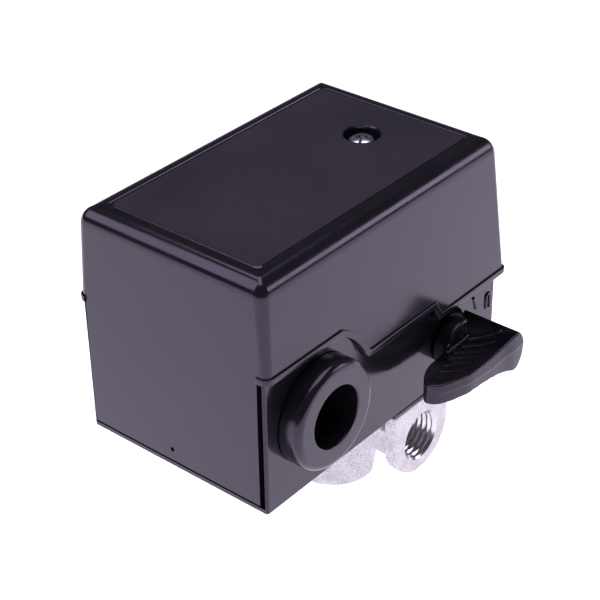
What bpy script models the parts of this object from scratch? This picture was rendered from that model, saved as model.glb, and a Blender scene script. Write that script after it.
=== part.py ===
"""Pressure switch for an air compressor: a moulded casing on a die-cast four-port manifold.

Sizes are in millimetres and turned to metres by MM. Inside each function they are measured in the
casing's own frame: x and y from the casing's centre and z up from its underside. The casing empty
carries that frame, and the world's origin is the centre of the manifold's inlet face.
"""

import math

import bmesh
import bpy
from mathutils import Matrix, Vector

MM = 0.001
GAP = 0.3  # clearance between neighbouring pieces

# Driving dimensions
CASING_LENGTH, CASING_DEPTH, CASING_HEIGHT = 84.0, 54.0, 56.0
INLET_X = 11.7  # the manifold's vertical axis, right of the casing's centre
INLET_DROP = 31.0  # inlet face below the casing's underside
COVER_WALL, BASE_WALL, FLOOR = 1.7, 2.6, 3.0
OVERHANG = 1.5  # the cover's lip stands this far proud of the base
LEDGE = 1.4  # the base's left end reaches out this far round the cover's tongue
EDGE_HIGH, EDGE_MID, EDGE_LOW = 33.0, 23.5, 19.8  # the cover's stepped lower edge
GLAND_X, GLAND_Z = -25.5, 18.5
GLAND_R, GLAND_BORE_R = 12.5, 7.2
GLAND_OUT, GLAND_OUT_BACK = 5.4, 2.0  # how far the front and back collars stand out of the walls
LEVER_X, LEVER_Z = 21.5, 11.5
PIVOT_X, PIVOT_Z = 33.5, 10.5
RANGE_X = -2.0  # main spring and its stud
DIFF_X = 28.4  # small spring and its stud
POST_X, POST_Y = 20.7, -1.2  # cover screw and the post it goes into
PORT_R, PORT_DEPTH, PORT_Z = 6.0, 13.0, -10.7
PORT_REACH = 26.0  # from the manifold's axis to the front and back port faces
PORT_REACH_RIGHT = 25.0
PORT_RIM = 3.0  # thickness of the disc round each side port
INLET_FLATS = 20.0  # across the wrench flats of the inlet boss
BEAM_Z = 12.0  # underside of the rocker beam's web
POLE_PITCH = 6.5

HALF_L, HALF_D = CASING_LENGTH / 2, CASING_DEPTH / 2
BASE_L, BASE_D = HALF_L - OVERHANG, HALF_D - OVERHANG

BLACK, BLACK_GLOSS, STEEL = "black_plastic", "black_gloss_plastic", "zinc_steel"
SPRING, ALUMINIUM, BRASS = "spring_steel", "cast_aluminium", "brass"
PHENOLIC, RUBBER, COPPER = "brown_phenolic", "black_rubber", "copper"
FINISHES = {
    BLACK: ((0.030, 0.028, 0.032), 0.45, 0.0),
    BLACK_GLOSS: ((0.022, 0.020, 0.024), 0.22, 0.0),
    STEEL: ((0.62, 0.63, 0.65), 0.32, 1.0),
    SPRING: ((0.42, 0.43, 0.45), 0.30, 1.0),
    ALUMINIUM: ((0.78, 0.77, 0.79), 0.50, 1.0),
    BRASS: ((0.80, 0.58, 0.25), 0.30, 1.0),
    PHENOLIC: ((0.10, 0.045, 0.025), 0.50, 0.0),
    RUBBER: ((0.020, 0.020, 0.022), 0.75, 0.0),
    COPPER: ((0.75, 0.40, 0.25), 0.30, 1.0),
}


# --- general tools -----------------------------------------------------------------------------


def clear_scene():
    """Remove every object that the file holds."""
    for obj in list(bpy.data.objects):
        bpy.data.objects.remove(obj, do_unlink=True)


def material(name):
    """Return the named finish as a Principled material, made once."""
    found = bpy.data.materials.get(name)
    if found:
        return found
    colour, roughness, metallic = FINISHES[name]
    made = bpy.data.materials.new(name)
    made.use_nodes = True
    shader = made.node_tree.nodes["Principled BSDF"]
    shader.inputs["Base Color"].default_value = (*colour, 1.0)
    shader.inputs["Roughness"].default_value = roughness
    shader.inputs["Metallic"].default_value = metallic
    made.diffuse_color = (*colour, 1.0)
    return made


def empty(name, x, y, z, parent=None):
    """Add an empty at a place given in its parent's frame."""
    obj = bpy.data.objects.new(name, None)
    bpy.context.scene.collection.objects.link(obj)
    obj.location = Vector((x, y, z)) * MM
    obj.parent = parent
    return obj


def finish_object(name, bm, finish, parent, smooth=True):
    """Turn a bmesh in millimetres into a placed object with its material."""
    bmesh.ops.remove_doubles(bm, verts=bm.verts, dist=1e-4)
    bmesh.ops.recalc_face_normals(bm, faces=bm.faces)
    bmesh.ops.scale(bm, vec=(MM, MM, MM), verts=bm.verts)
    mesh = bpy.data.meshes.new(name)
    bm.to_mesh(mesh)
    bm.free()
    if smooth:
        mesh.shade_smooth()
        mesh.set_sharp_from_angle(angle=math.radians(35))
    obj = bpy.data.objects.new(name, mesh)
    bpy.context.scene.collection.objects.link(obj)
    mesh.materials.append(material(finish))
    obj.parent = parent
    return obj


def turn_towards(bm, axis):
    """Turn a shape built along +Z so that it runs along another axis."""
    spin = Vector((0, 0, 1)).rotation_difference(Vector(axis)).to_matrix()
    bmesh.ops.rotate(bm, cent=(0, 0, 0), matrix=spin, verts=bm.verts)


def turned(profile, steps=24, at=(0, 0, 0), axis=(0, 0, 1)):
    """Spin (radius, height) points once round, closing the ends on the axis where they reach it."""
    bm = bmesh.new()
    verts = [bm.verts.new((radius, 0, height)) for radius, height in profile]
    edges = [bm.edges.new(pair) for pair in zip(verts, verts[1:])]
    if profile[0][0] > 0:
        edges.append(bm.edges.new((verts[-1], verts[0])))
    bmesh.ops.spin(
        bm, geom=verts + edges, cent=(0, 0, 0), axis=(0, 0, 1),
        angle=2 * math.pi, steps=steps, use_merge=True,
    )
    bmesh.ops.remove_doubles(bm, verts=bm.verts, dist=1e-4)
    turn_towards(bm, axis)
    bmesh.ops.translate(bm, vec=at, verts=bm.verts)
    return bm


def rod(radius, low, high, steps=24, at=(0, 0, 0), axis=(0, 0, 1), chamfer=0.0):
    """A plain round bar between two heights, with a small chamfer at its ends."""
    if chamfer:
        profile = [(0, high), (radius - chamfer, high), (radius, high - chamfer)]
        profile += [(radius, low + chamfer), (radius - chamfer, low), (0, low)]
    else:
        profile = [(0, high), (radius, high), (radius, low), (0, low)]
    return turned(profile, steps, at, axis)


def ring(outer, inner, low, high, steps=24, at=(0, 0, 0), axis=(0, 0, 1)):
    """A plain tube or washer."""
    profile = [(outer, high), (outer, low), (inner, low), (inner, high)]
    return turned(profile, steps, at, axis)


def extruded(outline, depth, place=Matrix.Identity(4)):
    """Extrude an (a, b) outline by depth along its own normal, then place it."""
    bm = bmesh.new()
    face = bm.faces.new([bm.verts.new((a, b, 0)) for a, b in outline])
    grown = bmesh.ops.extrude_face_region(bm, geom=[face])["geom"]
    moved = [item for item in grown if isinstance(item, bmesh.types.BMVert)]
    bmesh.ops.translate(bm, vec=(0, 0, depth), verts=moved)
    bmesh.ops.transform(bm, matrix=place, verts=bm.verts)
    bmesh.ops.recalc_face_normals(bm, faces=bm.faces)
    return bm


def along_y(outline, y_from, y_to):
    """Extrude an (x, z) outline along y."""
    stand_up = Matrix(((1, 0, 0, 0), (0, 0, -1, y_to), (0, 1, 0, 0), (0, 0, 0, 1)))
    return extruded(outline, y_to - y_from, stand_up)


def box(x_from, x_to, y_from, y_to, z_from, z_to):
    """A box between two corners."""
    outline = [(x_from, y_from), (x_to, y_from), (x_to, y_to), (x_from, y_to)]
    return extruded(outline, z_to - z_from, Matrix.Translation((0, 0, z_from)))


def rounded_outline(x_from, x_to, y_from, y_to, radius, steps=4):
    """Points round a rectangle with round corners, anticlockwise."""
    points = []
    centres = [(x_to - radius, y_to - radius, 0), (x_from + radius, y_to - radius, 90)]
    centres += [(x_from + radius, y_from + radius, 180), (x_to - radius, y_from + radius, 270)]
    for cx, cy, start in centres:
        for step in range(steps + 1):
            angle = math.radians(start + 90 * step / steps)
            points.append((cx + radius * math.cos(angle), cy + radius * math.sin(angle)))
    return points


def polygon(sides, across_flats, turn_deg=0.0):
    """Corner points of a regular polygon, such as a nut's hexagon."""
    radius = across_flats / 2 / math.cos(math.pi / sides)
    corners = [math.radians(turn_deg + 360 * i / sides) for i in range(sides)]
    return [(radius * math.cos(a), radius * math.sin(a)) for a in corners]


def lofted(rings):
    """Join a stack of outlines with the same number of points and close both ends."""
    bm = bmesh.new()
    loops = [[bm.verts.new((x, y, z)) for x, y in outline] for z, outline in rings]
    for lower, upper in zip(loops, loops[1:]):
        for i in range(len(lower)):
            j = (i + 1) % len(lower)
            bm.faces.new((lower[i], lower[j], upper[j], upper[i]))
    bm.faces.new(list(reversed(loops[0])))
    bm.faces.new(loops[-1])
    return bm


def helper(bm, parent):
    """A hidden cutter or joining piece for a Boolean."""
    obj = finish_object("helper", bm, BLACK, parent, smooth=False)
    obj.hide_render = True
    obj.display_type = "WIRE"
    return obj


def combine(obj, operation, *shapes):
    """Cut shapes from an object, or join or intersect them with it; a shape may be a helper."""
    for shape in shapes:
        modifier = obj.modifiers.new(operation.lower(), "BOOLEAN")
        modifier.operation = operation
        modifier.object = shape if isinstance(shape, bpy.types.Object) else helper(shape, obj.parent)
        modifier.solver = "EXACT"
    return obj


# --- casing ------------------------------------------------------------------------------------


def edge_profile(lift):
    """The cover's stepped lower edge from left to right, raised by lift."""
    arch = [(-20.2, EDGE_HIGH), (-18.1, 32.3), (-15.5, 30.8), (-13.0, 28.5), (-11.0, 26.0)]
    line = [(-60.0, EDGE_HIGH), *arch, (-9.3, 24.0), (-8.4, EDGE_MID)]
    line += [(13.6, EDGE_MID), (15.8, EDGE_LOW), (60.0, EDGE_LOW)]
    return [(x, z + lift) for x, z in line]


def below_edge():
    """A cutter for everything under the stepped edge."""
    return along_y([(-60.0, -20.0)] + edge_profile(0) + [(60.0, -20.0)], -60, 60)


def above_edge(lift):
    """A cutter for everything over the stepped edge."""
    return along_y([(60.0, 90.0), (-60.0, 90.0)] + edge_profile(lift), -60, 60)


def cover_outline(z, inset):
    """The cover's plan at a height: drafted sides, with corners that round off upwards."""
    share = max(0.0, (z - EDGE_LOW) / (CASING_HEIGHT - EDGE_LOW))
    left, right = -HALF_L + 0.4 * share + inset, HALF_L - 3.4 * share - inset
    half = HALF_D - 1.6 * share - inset
    radius = max(0.4, 1.3 + 1.3 * share - inset)
    return rounded_outline(left, right, -half, half, radius, 5)


def make_cover(parent):
    """Cover: a drafted hood with a round-edged top, whose left end runs down as a long tongue."""
    fillet, tongue_foot, ceiling = 4.0, 1.8, CASING_HEIGHT - 2.2
    heights = [tongue_foot, EDGE_LOW, CASING_HEIGHT - fillet]
    rings = [(z, cover_outline(z, 0)) for z in heights]
    for step in range(1, 6):
        angle = math.radians(90 * step / 5)
        z = CASING_HEIGHT - fillet * (1 - math.sin(angle))
        rings.append((z, cover_outline(z, fillet * (1 - math.cos(angle)))))
    cover = finish_object("cover", lofted(rings), BLACK, parent)
    inside = [(z, cover_outline(z, COVER_WALL)) for z in (tongue_foot - 1, EDGE_LOW, ceiling)]
    open_foot = helper(below_edge(), parent)
    tongue = box(-70, -HALF_L + COVER_WALL + 0.2, -HALF_D + 3.4, HALF_D - 2.4, -30, 70)
    combine(open_foot, "DIFFERENCE", tongue)
    combine(cover, "DIFFERENCE", lofted(inside), open_foot)
    place = (POST_X, POST_Y, 0)
    combine(cover, "UNION", rod(6.0, 50.8, ceiling + 0.4, 24, place))
    combine(cover, "DIFFERENCE", rod(4.1, CASING_HEIGHT - 3.2, 60, 24, place), rod(2.4, 45, 60, 24, place))
    return cover


def make_base(parent):
    """Base moulding: floor and walls up to the cover's edge, with a thin rim inside the cover."""
    outer = rounded_outline(-BASE_L - LEDGE, BASE_L, -BASE_D, BASE_D, 0.8)
    body = extruded(outer, 45)
    base = finish_object("base_housing", body, BLACK_GLOSS, parent)
    combine(base, "DIFFERENCE", above_edge(-GAP))
    recess = box(-60, -BASE_L + 0.7, -BASE_D + 0.6, BASE_D - 0.6, 1.2, 60)
    combine(base, "DIFFERENCE", recess)
    rim_in = 1.6
    rim = extruded(
        rounded_outline(-BASE_L + rim_in, BASE_L - rim_in, -BASE_D + rim_in, BASE_D - rim_in, 1.6),
        44, Matrix.Translation((0, 0, 1)),
    )
    rim = combine(helper(rim, parent), "DIFFERENCE", above_edge(2.7))
    combine(base, "UNION", rim)
    room_l, room_d = BASE_L - BASE_WALL, BASE_D - BASE_WALL
    room = rounded_outline(-room_l, room_l, -room_d, room_d, 1.2)
    cavity = extruded(room, 60, Matrix.Translation((0, 0, FLOOR)))
    glands = rod(9.4, -60, 60, 28, (GLAND_X, 0, GLAND_Z), (0, 1, 0))
    spindle = rod(3.8, -60, 0, 24, (LEVER_X, 0, LEVER_Z), (0, 1, 0))
    combine(base, "DIFFERENCE", cavity, glands, spindle, rod(13.0, -5, 10, 24, (INLET_X, 0, 0)))
    for x, y in flange_places():
        combine(base, "DIFFERENCE", rod(2.3, -5, 10, 12, (x, y, 0)))
    return base


def make_gland(name, side, parent):
    """Cable gland collar: a thick round-edged flange outside the wall and a sleeve through it."""
    wall = BASE_D + GAP
    face = BASE_D + (GLAND_OUT if side < 0 else GLAND_OUT_BACK)
    edge = 1.6 if side < 0 else 0.9
    profile = [(GLAND_BORE_R, face), (GLAND_R - edge, face), (GLAND_R - 0.47 * edge, face - 0.15 * edge)]
    profile += [(GLAND_R - 0.15 * edge, face - 0.47 * edge), (GLAND_R, face - edge), (GLAND_R, wall)]
    profile += [(9.0, wall), (9.0, BASE_D - BASE_WALL - 1.5), (GLAND_BORE_R, BASE_D - BASE_WALL - 1.5)]
    bm = turned(profile, 28, (GLAND_X, 0, GLAND_Z), (0, side, 0))
    return finish_object(name, bm, BLACK_GLOSS, parent)


# --- manifold ----------------------------------------------------------------------------------


def flange_places():
    """The four flange screws, on a square round the manifold's axis."""
    return [(INLET_X + sx * 14.0, sy * 14.0) for sx in (-1, 1) for sy in (-1, 1)]


def port_face(width, top, foot):
    """A port boss seen from outside: straight sides under the casing and a round lower end."""
    half = width / 2
    points = [(half, top), (-half, top)]
    for step in range(11):
        angle = math.radians(180 + 180 * step / 10)
        points.append((half * math.cos(angle), foot + half + half * math.sin(angle)))
    return points


def make_arm(reach, turn_deg):
    """One side arm of the manifold, with its boss: built along -Y and turned about the axis."""
    neck = [(x, z + PORT_Z) for x, z in polygon(8, 15.0, 22.5)]
    pieces = [along_y(neck, -reach + 2, 0)]
    boss = port_face(20.4, -GAP, PORT_Z - 9.4)
    pieces.append(along_y(boss, -reach, -reach + PORT_RIM))
    turn = Matrix.Translation((INLET_X, 0, 0)) @ Matrix.Rotation(math.radians(turn_deg), 4, "Z")
    for bm in pieces:
        bmesh.ops.transform(bm, matrix=turn, verts=bm.verts)
    return pieces


def port_cutter(reach, turn_deg):
    """A port's bore with its countersunk mouth, and the narrow passage to the middle."""
    profile = [(0, reach + 2), (PORT_R + 2.3, reach + 2), (PORT_R, reach - 0.3)]
    profile += [(PORT_R, reach - PORT_DEPTH), (3.0, reach - PORT_DEPTH - 1.5), (3.0, 0), (0, 0)]
    angle = math.radians(turn_deg)
    axis = (math.sin(angle), -math.cos(angle), 0)
    return turned(profile, 20, (INLET_X, 0, PORT_Z), axis)


def make_manifold(parent):
    """Die-cast manifold: square flange, six-sided inlet boss below and three side ports."""
    centre = (INLET_X, 0, 0)
    foot = -INLET_DROP
    flats = [(INLET_X + x, y) for x, y in polygon(6, INLET_FLATS, 30)]
    boss = extruded(flats, INLET_DROP, Matrix.Translation((0, 0, foot - 4.0)))
    manifold = finish_object("manifold", boss, ALUMINIUM, parent)
    profile = [(0, -3.0), (11.1, -3.0), (11.1, foot + 1.5), (9.4, foot), (0, foot)]
    combine(manifold, "INTERSECT", turned(profile, 36, centre))
    flange = rounded_outline(INLET_X - 18.5, INLET_X + 18.5, -18.5, 18.5, 5.0)
    combine(manifold, "UNION", extruded(flange, 4.2, Matrix.Translation((0, 0, -6.0))))
    arms = [(PORT_REACH, 0), (PORT_REACH_RIGHT, 90), (PORT_REACH, 180)]
    for reach, turn_deg in arms:
        combine(manifold, "UNION", *make_arm(reach, turn_deg))
    combine(manifold, "DIFFERENCE", rod(3.5, foot - 1, 5, 12, centre))
    mouth = [(0, foot - 2), (PORT_R + 1.3, foot - 1), (PORT_R, foot + 0.3), (PORT_R, foot + PORT_DEPTH)]
    mouth += [(3.2, foot + PORT_DEPTH + 1.5), (0, foot + PORT_DEPTH + 1.5)]
    combine(manifold, "DIFFERENCE", turned(mouth, 20, centre))
    for reach, turn_deg in arms:
        combine(manifold, "DIFFERENCE", port_cutter(reach, turn_deg))
    for x, y in flange_places():
        combine(manifold, "DIFFERENCE", rod(2.2, -4.9, 10, 12, (x, y, 0)))
    return manifold


def make_pressure_parts(parent):
    """Diaphragm over the manifold's passage, and the mushroom piston that it lifts."""
    at = (INLET_X, 0, 0)
    finish_object("diaphragm", rod(16.0, -1.5, -GAP, 28, at, chamfer=0.3), RUBBER, parent)
    head_top, stem_top = 1.6, BEAM_Z - GAP
    stem = [(0, stem_top), (4.2, stem_top), (5.0, stem_top - 0.9), (5.0, head_top + 0.2), (5.2, head_top)]
    head = [(10.7, head_top), (11.0, head_top - 0.3), (11.0, 0.3), (10.7, 0.0), (0, 0.0)]
    finish_object("piston", turned(stem + head, 24, at), ALUMINIUM, parent)


# --- fasteners ---------------------------------------------------------------------------------


def screw(name, x, y, seat, head_r, head_h, shank_r, shank_l, finish, parent, slots=2):
    """Pan-head screw standing on z = seat, with a slotted or crossed recess."""
    top = seat + head_h
    profile = [(0, top), (0.55 * head_r, top - 0.06 * head_h), (0.85 * head_r, top - 0.3 * head_h)]
    profile += [(head_r, top - 0.62 * head_h), (head_r, seat), (shank_r, seat)]
    profile += [(shank_r, seat - shank_l), (0, seat - shank_l)]
    obj = finish_object(name, turned(profile, 12, (x, y, 0)), finish, parent)
    reach, half = 0.62 * head_r, 0.13 * head_r + 0.15
    depth = top - 0.5 * head_h
    combine(obj, "DIFFERENCE", box(x - reach, x + reach, y - half, y + half, depth, top + 1))
    if slots == 2:
        combine(obj, "DIFFERENCE", box(x - half, x + half, y - reach, y + reach, depth, top + 1))
    return obj


def nut(name, x, low, high, flats, bore, parent):
    """Hexagon nut with a plain bore at its thread's outer size."""
    obj = finish_object(
        name,
        extruded([(x + a, b) for a, b in polygon(6, flats)], high - low, Matrix.Translation((0, 0, low))),
        STEEL, parent, smooth=False,
    )
    return combine(obj, "DIFFERENCE", rod(bore, low - 1, high + 1, 20, (x, 0, 0)))


# --- mechanism ---------------------------------------------------------------------------------


def make_frame(parent):
    """Pressed steel frame: a flat plate with two upright ears for the rocker's pin."""
    low, high = FLOOR + GAP, FLOOR + GAP + 1.6
    plate = rounded_outline(-12.0, 36.6, -19.0, 19.0, 2.5)
    bm = extruded(plate, high - low, Matrix.Translation((0, 0, low)))
    frame = finish_object("mechanism_frame", bm, STEEL, parent)
    ear = [(36.4, 4.2), (36.4, 12.0), (35.0, 14.0), (32.0, 14.0), (29.6, 12.0), (27.6, 6.0), (27.6, 4.2)]
    for y in (-18.6, 17.0):
        combine(frame, "UNION", along_y(ear, y, y + 1.6))
    combine(frame, "DIFFERENCE", rod(1.95, -40, 40, 20, (PIVOT_X, 0, PIVOT_Z), (0, 1, 0)))
    combine(frame, "DIFFERENCE", rod(5.4, 0, 9, 24, (INLET_X, 0, 0)))
    for x, y in flange_places():
        combine(frame, "DIFFERENCE", rod(2.2, 0, 9, 12, (x, y, 0)))
    for x, radius in ((RANGE_X, 2.8), (DIFF_X, 2.0)):
        combine(frame, "DIFFERENCE", rod(radius, 0, 9, 16, (x, 0, 0)))
    for y in (-15.8, 15.8):
        combine(frame, "DIFFERENCE", rod(1.8, 0, 9, 12, (6.0, y, 0)))
    combine(frame, "DIFFERENCE", rod(2.0, 0, 9, 12, (POST_X, POST_Y, 0)))
    return frame


def make_pivot(parent):
    """Rocker pin across the frame's ears, with a push-on clip outside each ear."""
    place = (PIVOT_X, 0, PIVOT_Z)
    finish_object("pivot_pin", rod(1.6, -20.8, 20.8, 20, place, (0, 1, 0), 0.3), STEEL, parent)
    for index, side in enumerate((-1, 1), start=1):
        clip = ring(3.2, 1.9, 18.9, 19.7, 20, place, (0, side, 0))
        finish_object(f"pivot_clip_{index}", clip, SPRING, parent)


def make_rocker(parent):
    """Rocker beam: a channel that turns on the pin, with its left end bent up for the contacts.

    The mesh is measured from the pin, because the parent empty stands on its axis.
    """
    web = BEAM_Z - PIVOT_Z
    left, right = -13.4 - PIVOT_X, 4.0
    beam = finish_object("rocker_beam", box(left, right, -11.4, 11.4, web, web + 1.6), STEEL, parent)
    flange = [(right, web + 1), (right, -2.4), (-3.4, -2.4), (-9.0, -1.2), (-30.0, -1.2), (-34.0, web + 1)]
    for y in (-11.4, 9.8):
        combine(beam, "UNION", along_y(flange, y, y + 1.6))
    combine(beam, "UNION", box(left, left + 1.4, -9.0, 9.0, web, web + 14.5))
    combine(beam, "DIFFERENCE", rod(1.9, -40, 40, 20, axis=(0, 1, 0)))
    for x, y, radius in ((RANGE_X, 0, 4.2), (DIFF_X, 0, 2.6), (POST_X, POST_Y, 4.4)):
        combine(beam, "DIFFERENCE", rod(radius, -9, 9, 24, (x - PIVOT_X, y, 0)))
    return beam


def make_contacts(parent):
    """Contact carrier on the rocker's end, with its two bridges; measured from the pin."""
    x_near, x_far = -13.7 - PIVOT_X, -23.0 - PIVOT_X
    low, high = 21.9 - PIVOT_Z, 26.4 - PIVOT_Z
    block = [(x_near, -12.4), (x_near, 12.4), (x_far, 12.4), (x_far, -12.4)]
    carrier = extruded(list(reversed(block)), high - low, Matrix.Translation((0, 0, low)))
    carrier = finish_object("contact_carrier", carrier, PHENOLIC, parent, smooth=False)
    bevel = carrier.modifiers.new("edges", "BEVEL")
    bevel.width, bevel.segments = 0.6 * MM, 1
    for index, side in enumerate((-1, 1), start=1):
        middle = side * POLE_PITCH
        centre = -18.0 - PIVOT_X
        bar = box(centre - 2.0, centre + 2.0, middle - 5.4, middle + 5.4, low - 1.3, low - GAP)
        finish_object(f"contact_bridge_{index}", bar, COPPER, parent, smooth=False)


def coil(name, x, low, high, mean_r, wire_r, turns, parent):
    """Compression spring: one flat turn at each end and even pitch between."""
    curve = bpy.data.curves.new(name, "CURVE")
    curve.dimensions = "3D"
    curve.bevel_depth = wire_r * MM
    curve.bevel_resolution = 1
    curve.use_fill_caps = True
    per_turn = 10
    count = int(turns * per_turn)
    spline = curve.splines.new("POLY")
    spline.points.add(count)
    bottom, top = low + wire_r, high - wire_r
    closed = 2 * wire_r / (top - bottom)
    for i in range(count + 1):
        turn = i / per_turn
        if turn < 1:
            share = closed * turn
        elif turn > turns - 1:
            share = 1 - closed * (turns - turn)
        else:
            share = closed + (1 - 2 * closed) * (turn - 1) / (turns - 2)
        angle = 2 * math.pi * turn
        z = bottom + (top - bottom) * share
        point = (mean_r * math.cos(angle), mean_r * math.sin(angle), z)
        spline.points[i].co = (*(Vector(point) * MM), 1.0)
    obj = bpy.data.objects.new(name, curve)
    bpy.context.scene.collection.objects.link(obj)
    curve.materials.append(material(SPRING))
    obj.parent = parent
    obj.location = (x * MM, 0, 0)
    return obj


def make_springs(parent):
    """Range spring and differential spring, each on its stud under a seat and a nut."""
    web_top = BEAM_Z + 1.6
    plate_top = FLOOR + GAP + 1.6
    coil("range_spring", RANGE_X, web_top + GAP, 38.0, 7.0, 1.1, 7.5, parent)
    stud = turned(
        [(0, 46.5), (2.1, 46.5), (2.5, 46.0), (2.5, plate_top + 2.3), (4.6, plate_top + 2.3)]
        + [(4.6, plate_top + GAP), (2.5, plate_top + GAP), (2.5, FLOOR + 2 * GAP), (0, FLOOR + 2 * GAP)],
        14, (RANGE_X, 0, 0),
    )
    finish_object("range_stud", stud, STEEL, parent)
    seat = turned(
        [(9.0, 39.9), (9.0, 38.3), (5.6, 38.3), (5.6, 36.6), (2.9, 36.6), (2.9, 39.9)],
        20, (RANGE_X, 0, 0),
    )
    finish_object("range_spring_seat", seat, STEEL, parent)
    nut("range_nut", RANGE_X, 40.2, 44.6, 9.5, 2.8, parent)
    coil("differential_spring", DIFF_X, web_top + GAP, 29.0, 3.3, 0.6, 7.5, parent)
    stud = turned(
        [(0, 35.0), (1.4, 35.0), (1.7, 34.6), (1.7, plate_top + 1.8), (3.2, plate_top + 1.8)]
        + [(3.2, plate_top + GAP), (1.7, plate_top + GAP), (1.7, FLOOR + 2 * GAP), (0, FLOOR + 2 * GAP)],
        12, (DIFF_X, 0, 0),
    )
    finish_object("differential_stud", stud, STEEL, parent)
    nut("differential_nut", DIFF_X, 29.3, 32.6, 6.4, 2.0, parent)


def make_post(parent):
    """Hexagonal post that the cover's screw goes into."""
    foot, top = FLOOR + 2 * GAP + 1.6, 50.5
    outline = [(POST_X + a, POST_Y + b) for a, b in polygon(6, 6.0, 30)]
    bm = extruded(outline, top - foot, Matrix.Translation((0, 0, foot)))
    post = finish_object("cover_post", bm, STEEL, parent, smooth=False)
    return combine(post, "DIFFERENCE", rod(2.2, 38.0, 60, 20, (POST_X, POST_Y, 0)))


def pole_places():
    """The y of each of the four poles."""
    return [(pole - 1.5) * POLE_PITCH for pole in range(4)]


def make_terminal_block(parent):
    """Moulded block with a barrier either side of each pole."""
    low, high = FLOOR + GAP, 18.0
    bm = box(-36.0, -14.2, -13.6, 13.6, low, high)
    block = finish_object("terminal_block", bm, PHENOLIC, parent, smooth=False)
    for wall in range(5):
        y = (wall - 2) * POLE_PITCH
        combine(block, "UNION", box(-36.0, -23.8, y - 0.6, y + 0.6, high - 1, 22.6))
    for y in pole_places():
        combine(block, "DIFFERENCE", rod(1.9, 9.0, 30, 12, (-30.0, y, 0)))
    return block


def make_pole(index, y, parent):
    """One pole: contact plate with its button, wire clamp and terminal screw."""
    low = 18.0 + GAP
    plate = finish_object(
        f"contact_plate_{index}", box(-35.2, -15.4, y - 2.2, y + 2.2, low, low + 1.0), BRASS, parent
    )
    combine(plate, "DIFFERENCE", rod(1.9, 10, 30, 12, (-30.0, y, 0)))
    combine(plate, "UNION", rod(1.5, low + 0.5, low + 2.0, 16, (-18.0, y, 0), chamfer=0.3))
    clamp_low = low + 1.0 + GAP
    clamp = finish_object(
        f"wire_clamp_{index}", box(-32.4, -27.6, y - 2.3, y + 2.3, clamp_low, clamp_low + 0.8), STEEL, parent
    )
    combine(clamp, "DIFFERENCE", rod(1.9, 10, 30, 12, (-30.0, y, 0)))
    screw(f"terminal_screw_{index}", -30.0, y, clamp_low + 0.8 + GAP, 2.3, 1.8, 1.6, 9.5, STEEL, parent, 1)


def make_fasteners(parent):
    """Flange screws, earth screws and the cover's screw."""
    seat = FLOOR + 2 * GAP + 1.6
    for index, (x, y) in enumerate(flange_places(), start=1):
        screw(f"flange_screw_{index}", x, y, seat, 3.6, 2.4, 1.9, seat + 4.6, STEEL, parent)
    for index, y in enumerate((-15.8, 15.8), start=1):
        screw(f"earth_screw_{index}", 6.0, y, seat, 2.9, 2.0, 1.5, 1.9, BRASS, parent)
    head_seat = CASING_HEIGHT - 3.2 + GAP
    screw("cover_screw", POST_X, POST_Y, head_seat, 2.9, 2.3, 1.9, 12.0, STEEL, parent)


# --- lever -------------------------------------------------------------------------------------


def lever_side():
    """The paddle's outline from the front, measured from its pivot: a thumb slab that flares right."""
    points = [(-21.0, 1.8), (-11.5, 2.0), (-5.5, 2.4), (-0.5, 3.2), (3.5, 4.4), (5.7, 4.8)]
    points += [(6.9, 3.3), (7.5, 0.6), (7.2, -2.6), (5.3, -5.1), (2.0, -4.2), (-2.1, -3.4)]
    points += [(-8.1, -3.0), (-14.5, -3.3), (-21.0, -3.4)]
    return points


def lever_plan():
    """The paddle's outline from above: a tongue that tapers to a blunt, slanted free end."""
    outer_edge = [(9.0, 15.9), (4.2, 15.8), (-0.5, 15.1), (-7.8, 14.6), (-11.2, 14.3)]
    tip = [(-13.9, 13.5), (-16.3, 12.6), (-18.6, 11.4), (-19.7, 10.2), (-20.2, 8.8), (-19.2, 7.4)]
    near_edge = [(-17.3, 6.1), (-14.8, 4.9), (-12.4, 4.3), (-9.6, 4.0), (-6.6, 3.8), (9.0, 3.8)]
    return [(x, -BASE_D - away) for x, away in outer_edge + tip + near_edge]


def make_lever(parent):
    """Lever: a paddle on a round hub, with a spindle through the casing's wall."""
    hub_in, hub_out = BASE_D + GAP, BASE_D + 4.6
    paddle = along_y(lever_side(), -60, -20)
    lever = finish_object("lever", paddle, BLACK, parent)
    combine(lever, "INTERSECT", extruded(lever_plan(), 60, Matrix.Translation((0, 0, -30))))
    combine(lever, "UNION", rod(6.0, hub_in, hub_out, 32, axis=(0, -1, 0)))
    combine(lever, "UNION", rod(3.4, BASE_D - 7.0, hub_in + 1, 24, axis=(0, -1, 0), chamfer=0.3))
    return lever


def make_lever_inside(parent):
    """Inside the wall: the clip that holds the spindle and the cam that it turns."""
    inner = BASE_D - BASE_WALL
    clip = ring(5.4, 3.7, inner - 1.1, inner - GAP, 24, axis=(0, -1, 0))
    finish_object("lever_clip", clip, SPRING, parent)
    lobe = []
    for step in range(24):
        angle = math.radians(360 * step / 24)
        radius = 5.4 + 2.6 * max(0.0, math.cos(angle - math.radians(200))) ** 3
        lobe.append((radius * math.cos(angle), radius * math.sin(angle)))
    cam = finish_object("lever_cam", along_y(lobe, -inner + 1.4, -inner + 3.4), PHENOLIC, parent)
    combine(cam, "DIFFERENCE", rod(3.7, -60, 60, 24, axis=(0, 1, 0)))


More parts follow.
